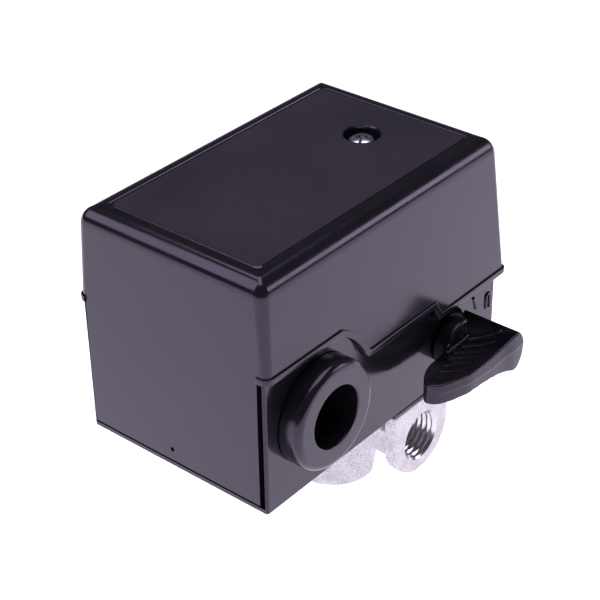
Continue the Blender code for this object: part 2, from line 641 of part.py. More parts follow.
def main():
    """Build the switch around its casing frame."""
    clear_scene()
    casing = empty("casing", -INLET_X, 0, INLET_DROP)
    make_base(casing)
    make_gland("cable_gland_front", -1, casing)
    make_gland("cable_gland_back", 1, casing)
    make_cover(empty("cover_lift", 0, 0, 0, casing))
    make_manifold(casing)
    make_pressure_parts(casing)
    make_frame(casing)
    make_pivot(casing)
    rocker_axis = empty("rocker_axis", PIVOT_X, 0, PIVOT_Z, casing)
    make_rocker(rocker_axis)
    make_contacts(rocker_axis)
    make_springs(casing)
    make_post(casing)
    make_terminal_block(casing)
    for index, y in enumerate(pole_places(), start=1):
        make_pole(index, y, casing)
    make_fasteners(casing)
    lever_axis = empty("lever_axis", LEVER_X, 0, LEVER_Z, casing)
    make_lever(lever_axis)
    make_lever_inside(lever_axis)


main()
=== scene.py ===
"""Looks of a pressure switch for an air compressor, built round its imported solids.

Every shape is drawn in casing millimetres: x and y from the middle of the casing, z up from its
underside, with the lever and the ports at the front, on -Y. The frame says where the casing stands.
"""

import logging
import math
from dataclasses import dataclass, field
from enum import Enum
from typing import Sequence

import bmesh
import bpy
from mathutils import Matrix, Vector


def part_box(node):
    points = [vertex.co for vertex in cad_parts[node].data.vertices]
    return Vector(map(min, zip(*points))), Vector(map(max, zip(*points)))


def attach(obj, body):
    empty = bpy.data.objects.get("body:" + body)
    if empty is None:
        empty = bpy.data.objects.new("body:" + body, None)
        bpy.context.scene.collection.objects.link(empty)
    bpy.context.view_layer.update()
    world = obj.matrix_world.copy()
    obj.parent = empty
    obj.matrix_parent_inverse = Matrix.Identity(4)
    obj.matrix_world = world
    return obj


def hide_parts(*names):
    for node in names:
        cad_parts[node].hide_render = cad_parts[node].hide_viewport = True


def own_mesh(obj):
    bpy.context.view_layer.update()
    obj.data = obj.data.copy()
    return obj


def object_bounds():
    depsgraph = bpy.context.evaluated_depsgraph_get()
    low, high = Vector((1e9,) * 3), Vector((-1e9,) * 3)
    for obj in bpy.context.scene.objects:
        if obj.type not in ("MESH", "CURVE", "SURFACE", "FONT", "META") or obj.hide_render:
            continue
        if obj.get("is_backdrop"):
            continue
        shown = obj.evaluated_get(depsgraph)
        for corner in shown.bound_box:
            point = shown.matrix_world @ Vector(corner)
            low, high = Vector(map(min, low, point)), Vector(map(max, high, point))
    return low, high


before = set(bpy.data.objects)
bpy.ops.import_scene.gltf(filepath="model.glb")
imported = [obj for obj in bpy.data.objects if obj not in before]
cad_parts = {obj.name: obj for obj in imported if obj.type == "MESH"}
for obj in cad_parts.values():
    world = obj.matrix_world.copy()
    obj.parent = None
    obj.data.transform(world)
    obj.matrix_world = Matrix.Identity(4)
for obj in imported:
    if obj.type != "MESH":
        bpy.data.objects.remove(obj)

log = logging.getLogger("pressure_switch")

MM = 0.001

Point2 = tuple[float, float]
Ring = tuple[float, list[Point2]]


class Body(Enum):
    """The bodies that a piece can ride on."""

    SWITCH = "switch"
    COVER = "cover"
    LEVER = "lever"


class Slot(Enum):
    """The record's material slots."""

    COVER = "cover"
    BASE = "base_plastic"
    GLAND = "gland_plastic"
    LEVER = "lever_plastic"
    CAST = "cast_aluminium"
    ZINC = "zinc_steel"
    SPRING = "spring_steel"


class Cut(Enum):
    """The ways in which one shape is combined with another."""

    JOIN = "UNION"
    REMOVE = "DIFFERENCE"
    KEEP_COMMON = "INTERSECT"


class Side(Enum):
    """The four sides of the casing, as the turn in degrees from its front."""

    FRONT = 0
    RIGHT = 90
    BACK = 180


# --- finishes ----------------------------------------------------------------------------------


def linear(hex_colour: str) -> tuple[float, float, float, float]:
    """Turn an sRGB hex colour to linear values.

    Args:
        hex_colour: Six hex digits after a #.

    Returns:
        Red, green, blue and an alpha of one.
    """
    digits = hex_colour.lstrip("#")
    shares = [int(digits[i : i + 2], 16) / 255 for i in (0, 2, 4)]
    red, green, blue = (s / 12.92 if s <= 0.04045 else ((s + 0.055) / 1.055) ** 2.4 for s in shares)
    return red, green, blue, 1.0


def add_node(
    tree: bpy.types.NodeTree,
    kind: str,
    settings: dict[str, object] | None = None,
    links: dict[str | int, bpy.types.NodeSocket] | None = None,
) -> bpy.types.Node:
    """Add a shader node with its settings and its incoming links.

    Args:
        tree: The material's node tree.
        kind: The node's type name.
        settings: Values by input name, or by property name where no input has it.
        links: Sockets to link in, by input name or index.

    Returns:
        The new node.
    """
    node = tree.nodes.new(kind)
    for key, value in (settings or {}).items():
        if key in node.inputs:
            node.inputs[key].default_value = value
        else:
            setattr(node, key, value)
    for key, socket in (links or {}).items():
        tree.links.new(socket, node.inputs[key])
    return node


@dataclass(frozen=True)
class Finish:
    """A real material with the surface that its making left.

    Sizes are in millimetres. The mottle is the slow change of colour over the surface, the smear
    is the change of polish that handling and the mould leave, and the grain is the fine relief.
    """

    name: str
    colour: str
    mottle: str
    mottle_mm: float
    polish: Point2
    smear_mm: float
    grain_mm: float
    grain_depth_mm: float
    metallic: float = 0.0
    ior: float | None = None
    sheen: str | None = None
    stretch: tuple[float, float, float] = (1.0, 1.0, 1.0)
    wave_mm: float = 0.0
    wave_depth_mm: float = 0.0
    speck: str | None = None

    def build(self) -> bpy.types.Material:
        """Make the material once and give it back on later calls."""
        found = bpy.data.materials.get(self.name)
        if found:
            return found
        made = bpy.data.materials.new(self.name)
        made.use_nodes = True
        tree = made.node_tree
        shader = tree.nodes["Principled BSDF"]
        shader.inputs["Metallic"].default_value = self.metallic
        if self.ior is not None:
            shader.inputs["IOR"].default_value = self.ior
        if self.sheen is not None:
            shader.inputs["Specular Tint"].default_value = linear(self.sheen)
        place = add_node(tree, "ShaderNodeTexCoord").outputs["Object"]
        stretched = add_node(tree, "ShaderNodeMapping", {"Scale": self.stretch}, {"Vector": place})
        vector = stretched.outputs["Vector"]
        colour = self.tint(tree, vector)
        tree.links.new(colour, shader.inputs["Base Color"])
        smear = self.noise(tree, vector, self.smear_mm, 3.0)
        polish = add_node(
            tree, "ShaderNodeMapRange",
            {"From Min": 0.35, "From Max": 0.65, "To Min": self.polish[0], "To Max": self.polish[1]},
            {"Value": smear},
        )
        tree.links.new(polish.outputs["Result"], shader.inputs["Roughness"])
        tree.links.new(self.relief(tree, vector), shader.inputs["Normal"])
        made.diffuse_color = linear(self.colour)
        return made

    def noise(
        self, tree: bpy.types.NodeTree, vector: bpy.types.NodeSocket, size_mm: float, detail: float
    ) -> bpy.types.NodeSocket:
        """Add noise whose blotches measure a real size.

        Args:
            tree: The material's node tree.
            vector: The place to read the noise at, in metres.
            size_mm: The distance between neighbouring blotches.
            detail: How many finer layers lie on the first.

        Returns:
            The noise value's socket.
        """
        settings = {"Scale": 1.0 / (size_mm * MM), "Detail": detail}
        return add_node(tree, "ShaderNodeTexNoise", settings, {"Vector": vector}).outputs["Fac"]

    def tint(self, tree: bpy.types.NodeTree, vector: bpy.types.NodeSocket) -> bpy.types.NodeSocket:
        """Mix the main colour with its mottle and, where there are any, dark specks.

        Args:
            tree: The material's node tree.
            vector: The place to read the pattern at.

        Returns:
            The colour's socket.
        """
        blotch = self.noise(tree, vector, self.mottle_mm, 4.0)
        ramp = add_node(tree, "ShaderNodeValToRGB", {}, {"Fac": blotch})
        ramp.color_ramp.elements[0].position = 0.38
        ramp.color_ramp.elements[0].color = linear(self.colour)
        ramp.color_ramp.elements[1].position = 0.64
        ramp.color_ramp.elements[1].color = linear(self.mottle)
        if self.speck is None:
            return ramp.outputs["Color"]
        dots = self.noise(tree, vector, self.grain_mm, 2.0)
        share = add_node(
            tree, "ShaderNodeMapRange", {"From Min": 0.52, "From Max": 0.66}, {"Value": dots}
        )
        mixed = add_node(
            tree,
            "ShaderNodeMix",
            {"data_type": "RGBA"},
            {0: share.outputs["Result"], 6: ramp.outputs["Color"]},
        )
        mixed.inputs[7].default_value = linear(self.speck)
        return mixed.outputs[2]

    def relief(self, tree: bpy.types.NodeTree, vector: bpy.types.NodeSocket) -> bpy.types.NodeSocket:
        """Add the fine grain and, over it, the slow waviness of a moulded wall.

        Args:
            tree: The material's node tree.
            vector: The place to read the pattern at.

        Returns:
            The bent normal's socket.
        """
        grain = self.noise(tree, vector, self.grain_mm, 2.0)
        bump = add_node(
            tree, "ShaderNodeBump", {"Strength": 1.0, "Distance": self.grain_depth_mm * MM}, {"Height": grain}
        )
        if not self.wave_mm:
            return bump.outputs["Normal"]
        wave = self.noise(tree, vector, self.wave_mm, 1.0)
        slow = add_node(
            tree, "ShaderNodeBump", {"Strength": 1.0, "Distance": self.wave_depth_mm * MM},
            {"Height": wave, "Normal": bump.outputs["Normal"]},
        )
        return slow.outputs["Normal"]


# The cold tint that carbon black gives to the shine of black plastics.
LAVENDER = "#ecdfff"

# Black ABS from a polished mould: a deep black that mirrors softly, with faint sink marks and smears.
POLISHED_ABS = Finish(
    "abs_black_polished", "#151318", "#19161d", 30.0, (0.15, 0.23), 16.0, 1.2, 0.0015,
    ior=1.52, sheen=LAVENDER, wave_mm=22.0, wave_depth_mm=0.05,
)
# The same ABS from a spark-eroded mould face: an even matt black with a fine sandy grain. The real
# grain is near 0.1 mm and is drawn at 0.45 mm so that it shows.
GRAINED_ABS = Finish(
    "abs_black_grained", "#242128", "#29252e", 24.0, (0.42, 0.50), 20.0, 0.45, 0.08,
    ior=1.54, sheen=LAVENDER,
)
# Base moulding in black ABS: glossier than the cover, with faint flow marks.
GLOSSY_ABS = Finish(
    "abs_black_glossy", "#151217", "#19151c", 26.0, (0.10, 0.16), 14.0, 1.0, 0.0015,
    ior=1.52, sheen=LAVENDER, wave_mm=18.0, wave_depth_mm=0.035,
)
# Cable collars in black polyamide: close to the base in colour with a softer shine.
COLLAR_POLYAMIDE = Finish(
    "polyamide_black_collar", "#161418", "#1b181e", 12.0, (0.16, 0.26), 7.0, 0.5, 0.003,
    ior=1.53, sheen=LAVENDER,
)
# Lever in glass-filled polyamide: satin black with a fine dry grain that blurs reflections.
LEVER_POLYAMIDE = Finish(
    "polyamide_black_lever", "#0c0b0e", "#111013", 9.0, (0.20, 0.30), 5.0, 0.35, 0.006,
    ior=1.5, sheen=LAVENDER,
)
# Pressure die-cast aluminium, tumbled: bright grey with a pitted skin. The pits near 0.1 mm are
# drawn at 0.5 mm so that they show.
DIE_CAST = Finish(
    "aluminium_die_cast", "#e2dfe2", "#d2ced3", 3.0, (0.46, 0.60), 2.0, 0.4, 0.04,
    metallic=0.65, speck="#aea8b3",
)
# Tapped aluminium: bright turned metal with rings along the cut.
TAPPED = Finish(
    "aluminium_tapped", "#d9d7da", "#cbc8cd", 4.0, (0.20, 0.26), 3.0, 0.5, 0.001, metallic=1.0,
)
# Turned aluminium of the piston: clean and bright with faint tool rings.
TURNED_ALUMINIUM = Finish(
    "aluminium_turned", "#dcdce0", "#cfcfd4", 3.0, (0.24, 0.36), 2.0, 0.2, 0.004,
    metallic=1.0, stretch=(1.0, 1.0, 6.0),
)
# Steel screws and nuts with bright zinc plating: silvery with a faint blue cast.
ZINC_PLATE = Finish(
    "steel_zinc_plated", "#d3d7df", "#bfc6d2", 1.8, (0.16, 0.30), 1.2, 0.2, 0.004, metallic=1.0,
)
# Pressed steel sheet, zinc plated after pressing: duller, with rolling marks along its length.
PRESSED_SHEET = Finish(
    "steel_pressed_zinc", "#b9bdc4", "#a6abb4", 8.0, (0.30, 0.46), 3.0, 0.3, 0.005,
    metallic=1.0, stretch=(0.25, 1.0, 1.0),
)
# Drawn spring wire, oiled: darker grey steel with a smooth gloss.
SPRING_WIRE = Finish(
    "steel_spring_wire", "#8d9097", "#7c7f87", 2.5, (0.20, 0.32), 1.5, 0.15, 0.003, metallic=1.0,
)
# Blanked brass: warm yellow metal, slightly dulled by air.
BLANKED_BRASS = Finish(
    "brass_blanked", "#cfa75c", "#b98f48", 3.0, (0.24, 0.38), 2.0, 0.25, 0.004, metallic=1.0,
)
# Rolled copper of the contact bridges: reddish metal with darker oxide patches.
ROLLED_COPPER = Finish(
    "copper_rolled", "#c37f5c", "#a8654a", 2.5, (0.24, 0.40), 1.8, 0.25, 0.004, metallic=1.0,
)
# Compression-moulded phenolic: dark brown, with the wood-flour fleck of the filler.
MOULDED_PHENOLIC = Finish(
    "phenolic_moulded", "#3a221b", "#4a2e23", 1.2, (0.38, 0.52), 3.0, 0.3, 0.010, ior=1.60, speck="#5a3c2c",
)
# Nitrile rubber diaphragm: dull black with a dusty bloom.
NITRILE = Finish(
    "rubber_nitrile", "#222124", "#2f2e31", 4.0, (0.62, 0.78), 3.0, 0.4, 0.012, ior=1.52,
)


# --- shapes ------------------------------------------------------------------------------------


@dataclass(frozen=True)
class Datum:
    """Where the casing's middle underside stands in the world, worked out from the frame."""

    origin: Vector

    @classmethod
    def from_frame(cls) -> "Datum":
        """Read the place from the boxes of the cover and the base moulding."""
        low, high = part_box("cover")
        floor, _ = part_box("base_housing")
        return cls(Vector(((low[0] + high[0]) / 2, (low[1] + high[1]) / 2, floor[2])))

    def matrix(self) -> Matrix:
        """Give the matrix from casing millimetres to world metres."""
        return Matrix.Translation(self.origin) @ Matrix.Scale(MM, 4)

    def to_casing(self, point: Sequence[float]) -> Vector:
        """Turn a world point in metres to casing millimetres.

        Args:
            point: The world point.

        Returns:
            The same point in the casing's own frame.
        """
        return (Vector(point) - self.origin) / MM


DATUM = Datum.from_frame()


def casing_box(node: str) -> tuple[Vector, Vector]:
    """Give a node's lowest and highest corners in casing millimetres.

    Args:
        node: The CAD node's name.

    Returns:
        The two corners.
    """
    low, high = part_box(node)
    return DATUM.to_casing(low), DATUM.to_casing(high)


def arc(centre: Point2, radius: float, start: float, end: float, steps: int) -> list[Point2]:
    """Give points along an arc.

    Args:
        centre: The arc's centre.
        radius: Its radius.
        start: The first point's angle in degrees.
        end: The last point's angle in degrees.
        steps: How many stretches it is divided in.

    Returns:
        The points, both ends included.
    """
    angles = [math.radians(start + (end - start) * i / steps) for i in range(steps + 1)]
    return [(centre[0] + radius * math.cos(a), centre[1] + radius * math.sin(a)) for a in angles]


def smooth_line(points: Sequence[Point2], steps: int) -> list[Point2]:
    """Lead a smooth line through points, as a bent ruler would lie.

    Args:
        points: The points to pass through.
        steps: How many stretches lie between neighbours.

    Returns:
        The line's points.
    """
    line: list[Point2] = []
    padded = [points[0], *points, points[-1]]
    for before, start, end, after in zip(padded, padded[1:], padded[2:], padded[3:]):
        for step in range(steps):
            t = step / steps
            point = []
            for a, b, c, d in zip(before, start, end, after):
                bend = (2 * a - 5 * b + 4 * c - d) * t**2 + (3 * b - a - 3 * c + d) * t**3
                point.append(0.5 * (2 * b + (c - a) * t + bend))
            line.append(tuple(point))
    line.append(points[-1])
    return line


def read_line(points: Sequence[Point2], x: float) -> float:
    """Read a line of (x, value) points at one place.

    Args:
        points: The line, with rising x.
        x: Where to read it.

    Returns:
        The value, held level past both ends.
    """
    if x <= points[0][0]:
        return points[0][1]
    for (x0, v0), (x1, v1) in zip(points, points[1:]):
        if x <= x1:
            return v0 + (v1 - v0) * (x - x0) / (x1 - x0)
    return points[-1][1]


def rounded_outline(low: Point2, high: Point2, radius: float, steps: int = 12) -> list[Point2]:
    """Give points round a rectangle with round corners, anticlockwise.

    Args:
        low: Its lowest corner.
        high: Its highest corner.
        radius: The corners' radius.
        steps: How many stretches make one corner.

    Returns:
        The points.
    """
    right, left = high[0] - radius, low[0] + radius
    top, bottom = high[1] - radius, low[1] + radius
    corners = [(right, top), (left, top), (left, bottom), (right, bottom)]
    points: list[Point2] = []
    for index, corner in enumerate(corners):
        points += arc(corner, radius, 90 * index, 90 * index + 90, steps)
    return points


def turn_towards(bm: bmesh.types.BMesh, axis: Sequence[float]) -> None:
    """Turn a shape built along +Z so that it runs along another axis.

    Args:
        bm: The shape.
        axis: The direction that +Z turns to.
    """
    spin = Vector((0, 0, 1)).rotation_difference(Vector(axis)).to_matrix()
    bmesh.ops.rotate(bm, cent=(0, 0, 0), matrix=spin, verts=bm.verts)


def turned(
    profile: Sequence[Point2],
    steps: int = 64,
    at: Sequence[float] = (0, 0, 0),
    axis: Sequence[float] = (0, 0, 1),
) -> bmesh.types.BMesh:
    """Spin (radius, height) points once round, as on a lathe.

    Args:
        profile: The points; an open line has both ends on the axis.
        steps: How many stretches make the round.
        at: Where the profile's zero height goes.
        axis: The direction of the profile's height.

    Returns:
        The closed shape.
    """
    bm = bmesh.new()
    verts = [bm.verts.new((radius, 0, height)) for radius, height in profile]
    edges = [bm.edges.new(pair) for pair in zip(verts, verts[1:])]
    if profile[0][0] > 0:
        edges.append(bm.edges.new((verts[-1], verts[0])))
    bmesh.ops.spin(
        bm, geom=verts + edges, cent=(0, 0, 0), axis=(0, 0, 1), angle=2 * math.pi, steps=steps, use_merge=True
    )
    bmesh.ops.remove_doubles(bm, verts=bm.verts, dist=1e-4)
    turn_towards(bm, axis)
    bmesh.ops.translate(bm, vec=at, verts=bm.verts)
    return bm


def rod(
    radius: float, low: float, high: float, at: Sequence[float] = (0, 0, 0), axis: Sequence[float] = (0, 0, 1)
) -> bmesh.types.BMesh:
    """Make a plain round bar.

    Args:
        radius: Its radius.
        low: Where it starts along its axis.
        high: Where it ends.
        at: The place of its zero.
        axis: Its direction.

    Returns:
        The closed shape.
    """
    return turned([(0, high), (radius, high), (radius, low), (0, low)], 48, at, axis)


def prism(outline: Sequence[Point2], depth: float, place: Matrix | None = None) -> bmesh.types.BMesh:
    """Extrude an outline along its own normal, then place it.

    Args:
        outline: The points, anticlockwise.
        depth: How far it is extruded.
        place: The matrix that places it.

    Returns:
        The closed shape.
    """
    bm = bmesh.new()
    face = bm.faces.new([bm.verts.new((a, b, 0)) for a, b in outline])
    grown = bmesh.ops.extrude_face_region(bm, geom=[face])["geom"]
    moved = [item for item in grown if isinstance(item, bmesh.types.BMVert)]
    bmesh.ops.translate(bm, vec=(0, 0, depth), verts=moved)
    bmesh.ops.transform(bm, matrix=place or Matrix.Identity(4), verts=bm.verts)
    bmesh.ops.recalc_face_normals(bm, faces=bm.faces)
    return bm


def along_y(outline: Sequence[Point2], near: float, far: float) -> bmesh.types.BMesh:
    """Extrude an (x, z) outline along y.

    Args:
        outline: The points.
        near: The lowest y.
        far: The highest y.

    Returns:
        The closed shape.
    """
    stand_up = Matrix(((1, 0, 0, 0), (0, 0, -1, far), (0, 1, 0, 0), (0, 0, 0, 1)))
    return prism(outline, far - near, stand_up)


def block(low: Sequence[float], high: Sequence[float]) -> bmesh.types.BMesh:
    """Make a square-edged block between two corners.

    Args:
        low: The lowest corner.
        high: The highest corner.

    Returns:
        The closed shape.
    """
    outline = [(low[0], low[1]), (high[0], low[1]), (high[0], high[1]), (low[0], high[1])]
    return prism(outline, high[2] - low[2], Matrix.Translation((0, 0, low[2])))


def lofted(rings: Sequence[Ring]) -> bmesh.types.BMesh:
    """Join a stack of outlines with the same number of points and close both ends.

    Args:
        rings: Each ring's height and outline.

    Returns:
        The closed shape.
    """
    bm = bmesh.new()
    loops = [[bm.verts.new((x, y, z)) for x, y in outline] for z, outline in rings]
    for lower, upper in zip(loops, loops[1:]):
        for i in range(len(lower)):
            j = (i + 1) % len(lower)
            bm.faces.new((lower[i], lower[j], upper[j], upper[i]))
    bm.faces.new(list(reversed(loops[0])))
    bm.faces.new(loops[-1])
    return bm


def swept(sections: Sequence[Sequence[Vector]]) -> bmesh.types.BMesh:
    """Join a row of closed sections and cap both ends.

    Args:
        sections: Each section's points, the same number in each.

    Returns:
        The closed shape.
    """
    bm = bmesh.new()
    loops = [[bm.verts.new(point) for point in section] for section in sections]
    for before, after in zip(loops, loops[1:]):
        for i in range(len(before)):
            j = (i + 1) % len(before)
            bm.faces.new((before[i], before[j], after[j], after[i]))
    bm.faces.new(list(reversed(loops[0])))
    bm.faces.new(loops[-1])
    bmesh.ops.recalc_face_normals(bm, faces=bm.faces)
    return bm


def tube_along(path: Sequence[Vector], radius: float, sides: int = 12) -> bmesh.types.BMesh:
    """Make a round bar along a path.

    Args:
        path: The points of its middle line.
        radius: Its radius.
        sides: How many flats make the round.

    Returns:
        The closed shape.
    """
    sections = []
    across = Vector((0, 0, 1))
    for index, point in enumerate(path):
        ahead = path[min(index + 1, len(path) - 1)] - path[max(index - 1, 0)]
        ahead.normalize()
        across = (across - across.dot(ahead) * ahead).normalized()
        over = ahead.cross(across)
        angles = [2 * math.pi * i / sides for i in range(sides)]
        sections.append([point + radius * (math.cos(a) * across + math.sin(a) * over) for a in angles])
    return swept(sections)


def add_piece(name: str, bm: bmesh.types.BMesh, finish: Finish | None = None) -> bpy.types.Object:
    """Turn a shape in casing millimetres to an object in world metres.

    Args:
        name: The object's name.
        bm: The shape, which is used up.
        finish: Its finish, left out on a cutter.

    Returns:
        The object.
    """
    bmesh.ops.remove_doubles(bm, verts=bm.verts, dist=1e-4)
    bmesh.ops.recalc_face_normals(bm, faces=bm.faces)
    bmesh.ops.transform(bm, matrix=DATUM.matrix(), verts=bm.verts)
    mesh = bpy.data.meshes.new(name)
    bm.to_mesh(mesh)
    bm.free()
    obj = bpy.data.objects.new(name, mesh)
    bpy.context.scene.collection.objects.link(obj)
    if finish:
        mesh.materials.append(finish.build())
    return obj


def settle(obj: bpy.types.Object) -> bpy.types.Object:
    """Turn an object's modifiers into its mesh.

    Args:
        obj: The object.

    Returns:
        The same object.
    """
    graph = bpy.context.evaluated_depsgraph_get()
    old = obj.data
    obj.data = bpy.data.meshes.new_from_object(obj.evaluated_get(graph))
    obj.modifiers.clear()
    bpy.data.meshes.remove(old)
    return obj


def combine(obj: bpy.types.Object, how: Cut, *shapes: bmesh.types.BMesh) -> bpy.types.Object:
    """Join shapes to an object, or cut them from it.

    Args:
        obj: The object.
        how: Join, remove or keep what is common.
        shapes: The shapes, which are used up.

    Returns:
        The same object.
    """
    helpers = [add_piece("helper", shape) for shape in shapes]
    for helper in helpers:
        modifier = obj.modifiers.new("cut", "BOOLEAN")
        modifier.operation = how.value
        modifier.solver = "EXACT"
        modifier.object = helper
    settle(obj)
    for helper in helpers:
        bpy.data.objects.remove(helper)
    return obj


def taken(obj: bpy.types.Object) -> bmesh.types.BMesh:
    """Take an object's mesh back as a shape in casing millimetres, and remove the object.

    Args:
        obj: The object.

    Returns:
        Its shape.
    """
    bm = bmesh.new()
    bm.from_mesh(obj.data)
    bmesh.ops.transform(bm, matrix=DATUM.matrix().inverted(), verts=bm.verts)
    bpy.data.objects.remove(obj)
    return bm


def bevelled(obj: bpy.types.Object, width: float, segments: int = 2, angle: float = 35) -> bpy.types.Object:
    """Round an object's sharp edges a little.

    Args:
        obj: The object.
        width: How wide the rounding is, in millimetres.
        segments: How many strips make it.
        angle: The least turn of an edge that is rounded, in degrees.

    Returns:
        The same object.
    """
    modifier = obj.modifiers.new("edges", "BEVEL")
    modifier.width = width * MM
    modifier.segments = segments
    modifier.angle_limit = math.radians(angle)
    return settle(obj)


def as_cast(obj: bpy.types.Object, voxel: float, passes: int) -> bpy.types.Object:
    """Remake a mesh in small even faces and soften its edges, as a casting or moulding has them.

    Args:
        obj: The object.
        voxel: The size of the faces in millimetres.
        passes: How many times neighbouring points are evened out.

    Returns:
        The same object.
    """
    remesh = obj.modifiers.new("even", "REMESH")
    remesh.mode = "VOXEL"
    remesh.voxel_size = voxel * MM
    remesh.use_smooth_shade = True
    soften = obj.modifiers.new("soften", "SMOOTH")
    soften.iterations = passes
    soften.factor = 0.5
    return settle(obj)


def shade(obj: bpy.types.Object, angle: float = 32) -> None:
    """Shade round faces smooth, keep sharp edges, and let flat faces stay flat.

    Args:
        obj: The object.
        angle: The least turn of an edge that stays sharp, in degrees.
    """
    obj.data.shade_smooth()
    obj.data.set_sharp_from_angle(angle=math.radians(angle))
    weights = obj.modifiers.new("flats", "WEIGHTED_NORMAL")
    weights.keep_sharp = True


def fit(obj: bpy.types.Object, body: Body, slot: Slot, *nodes: str) -> None:
    """Hang a finished piece in the frame and report it.

    Args:
        obj: The piece.
        body: The body that it rides on.
        slot: The record's material slot; it is not used.
        nodes: The CAD nodes that it stands for.
    """
    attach(obj, body.value)
    if nodes:
        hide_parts(*nodes)
    log.info("%s: %d faces, rides on %s", obj.name, len(obj.data.polygons), body.value)


# --- casing ------------------------------------------------------------------------------------


@dataclass
class PartingLine:
    """The stepped line on the casing's front and back where the cover ends and the base starts."""

    high: float = 33.0
    middle: float = 23.5
    low: float = 19.8
    arch_centre: Point2 = (-25.8, 18.5)
    arch_radius: float = 16.2
    step_from: float = 13.6
    step_to: float = 15.8
    reach: float = 60.0

    def points(self, lift: float = 0.0) -> list[Point2]:
        """Give the line from left to right.

        Args:
            lift: How far it is raised.

        Returns:
            The (x, z) points.
        """
        rise = self.high - self.arch_centre[1]
        start = math.degrees(math.asin(rise / self.arch_radius))
        end = math.degrees(math.asin((self.middle + 1.0 - self.arch_centre[1]) / self.arch_radius))
        line = [(-self.reach, self.high)]
        line += arc(self.arch_centre, self.arch_radius, start, end, 14)
        line += [(line[-1][0] + 1.2, self.middle), (self.step_from, self.middle)]
        line += [(self.step_to, self.low), (self.reach, self.low)]
        return [(x, z + lift) for x, z in line]

    def under(self, depth: float = 20.0) -> bmesh.types.BMesh:
        """Make a cutter for everything below the line."""
        return along_y([(-self.reach, -depth), *self.points(), (self.reach, -depth)], -self.reach, self.reach)

    def over(self, lift: float, top: float = 90.0) -> bmesh.types.BMesh:
        """Make a cutter for everything above the raised line."""
        outline = [(self.reach, top), (-self.reach, top), *self.points(lift)]
        return along_y(outline, -self.reach, self.reach)


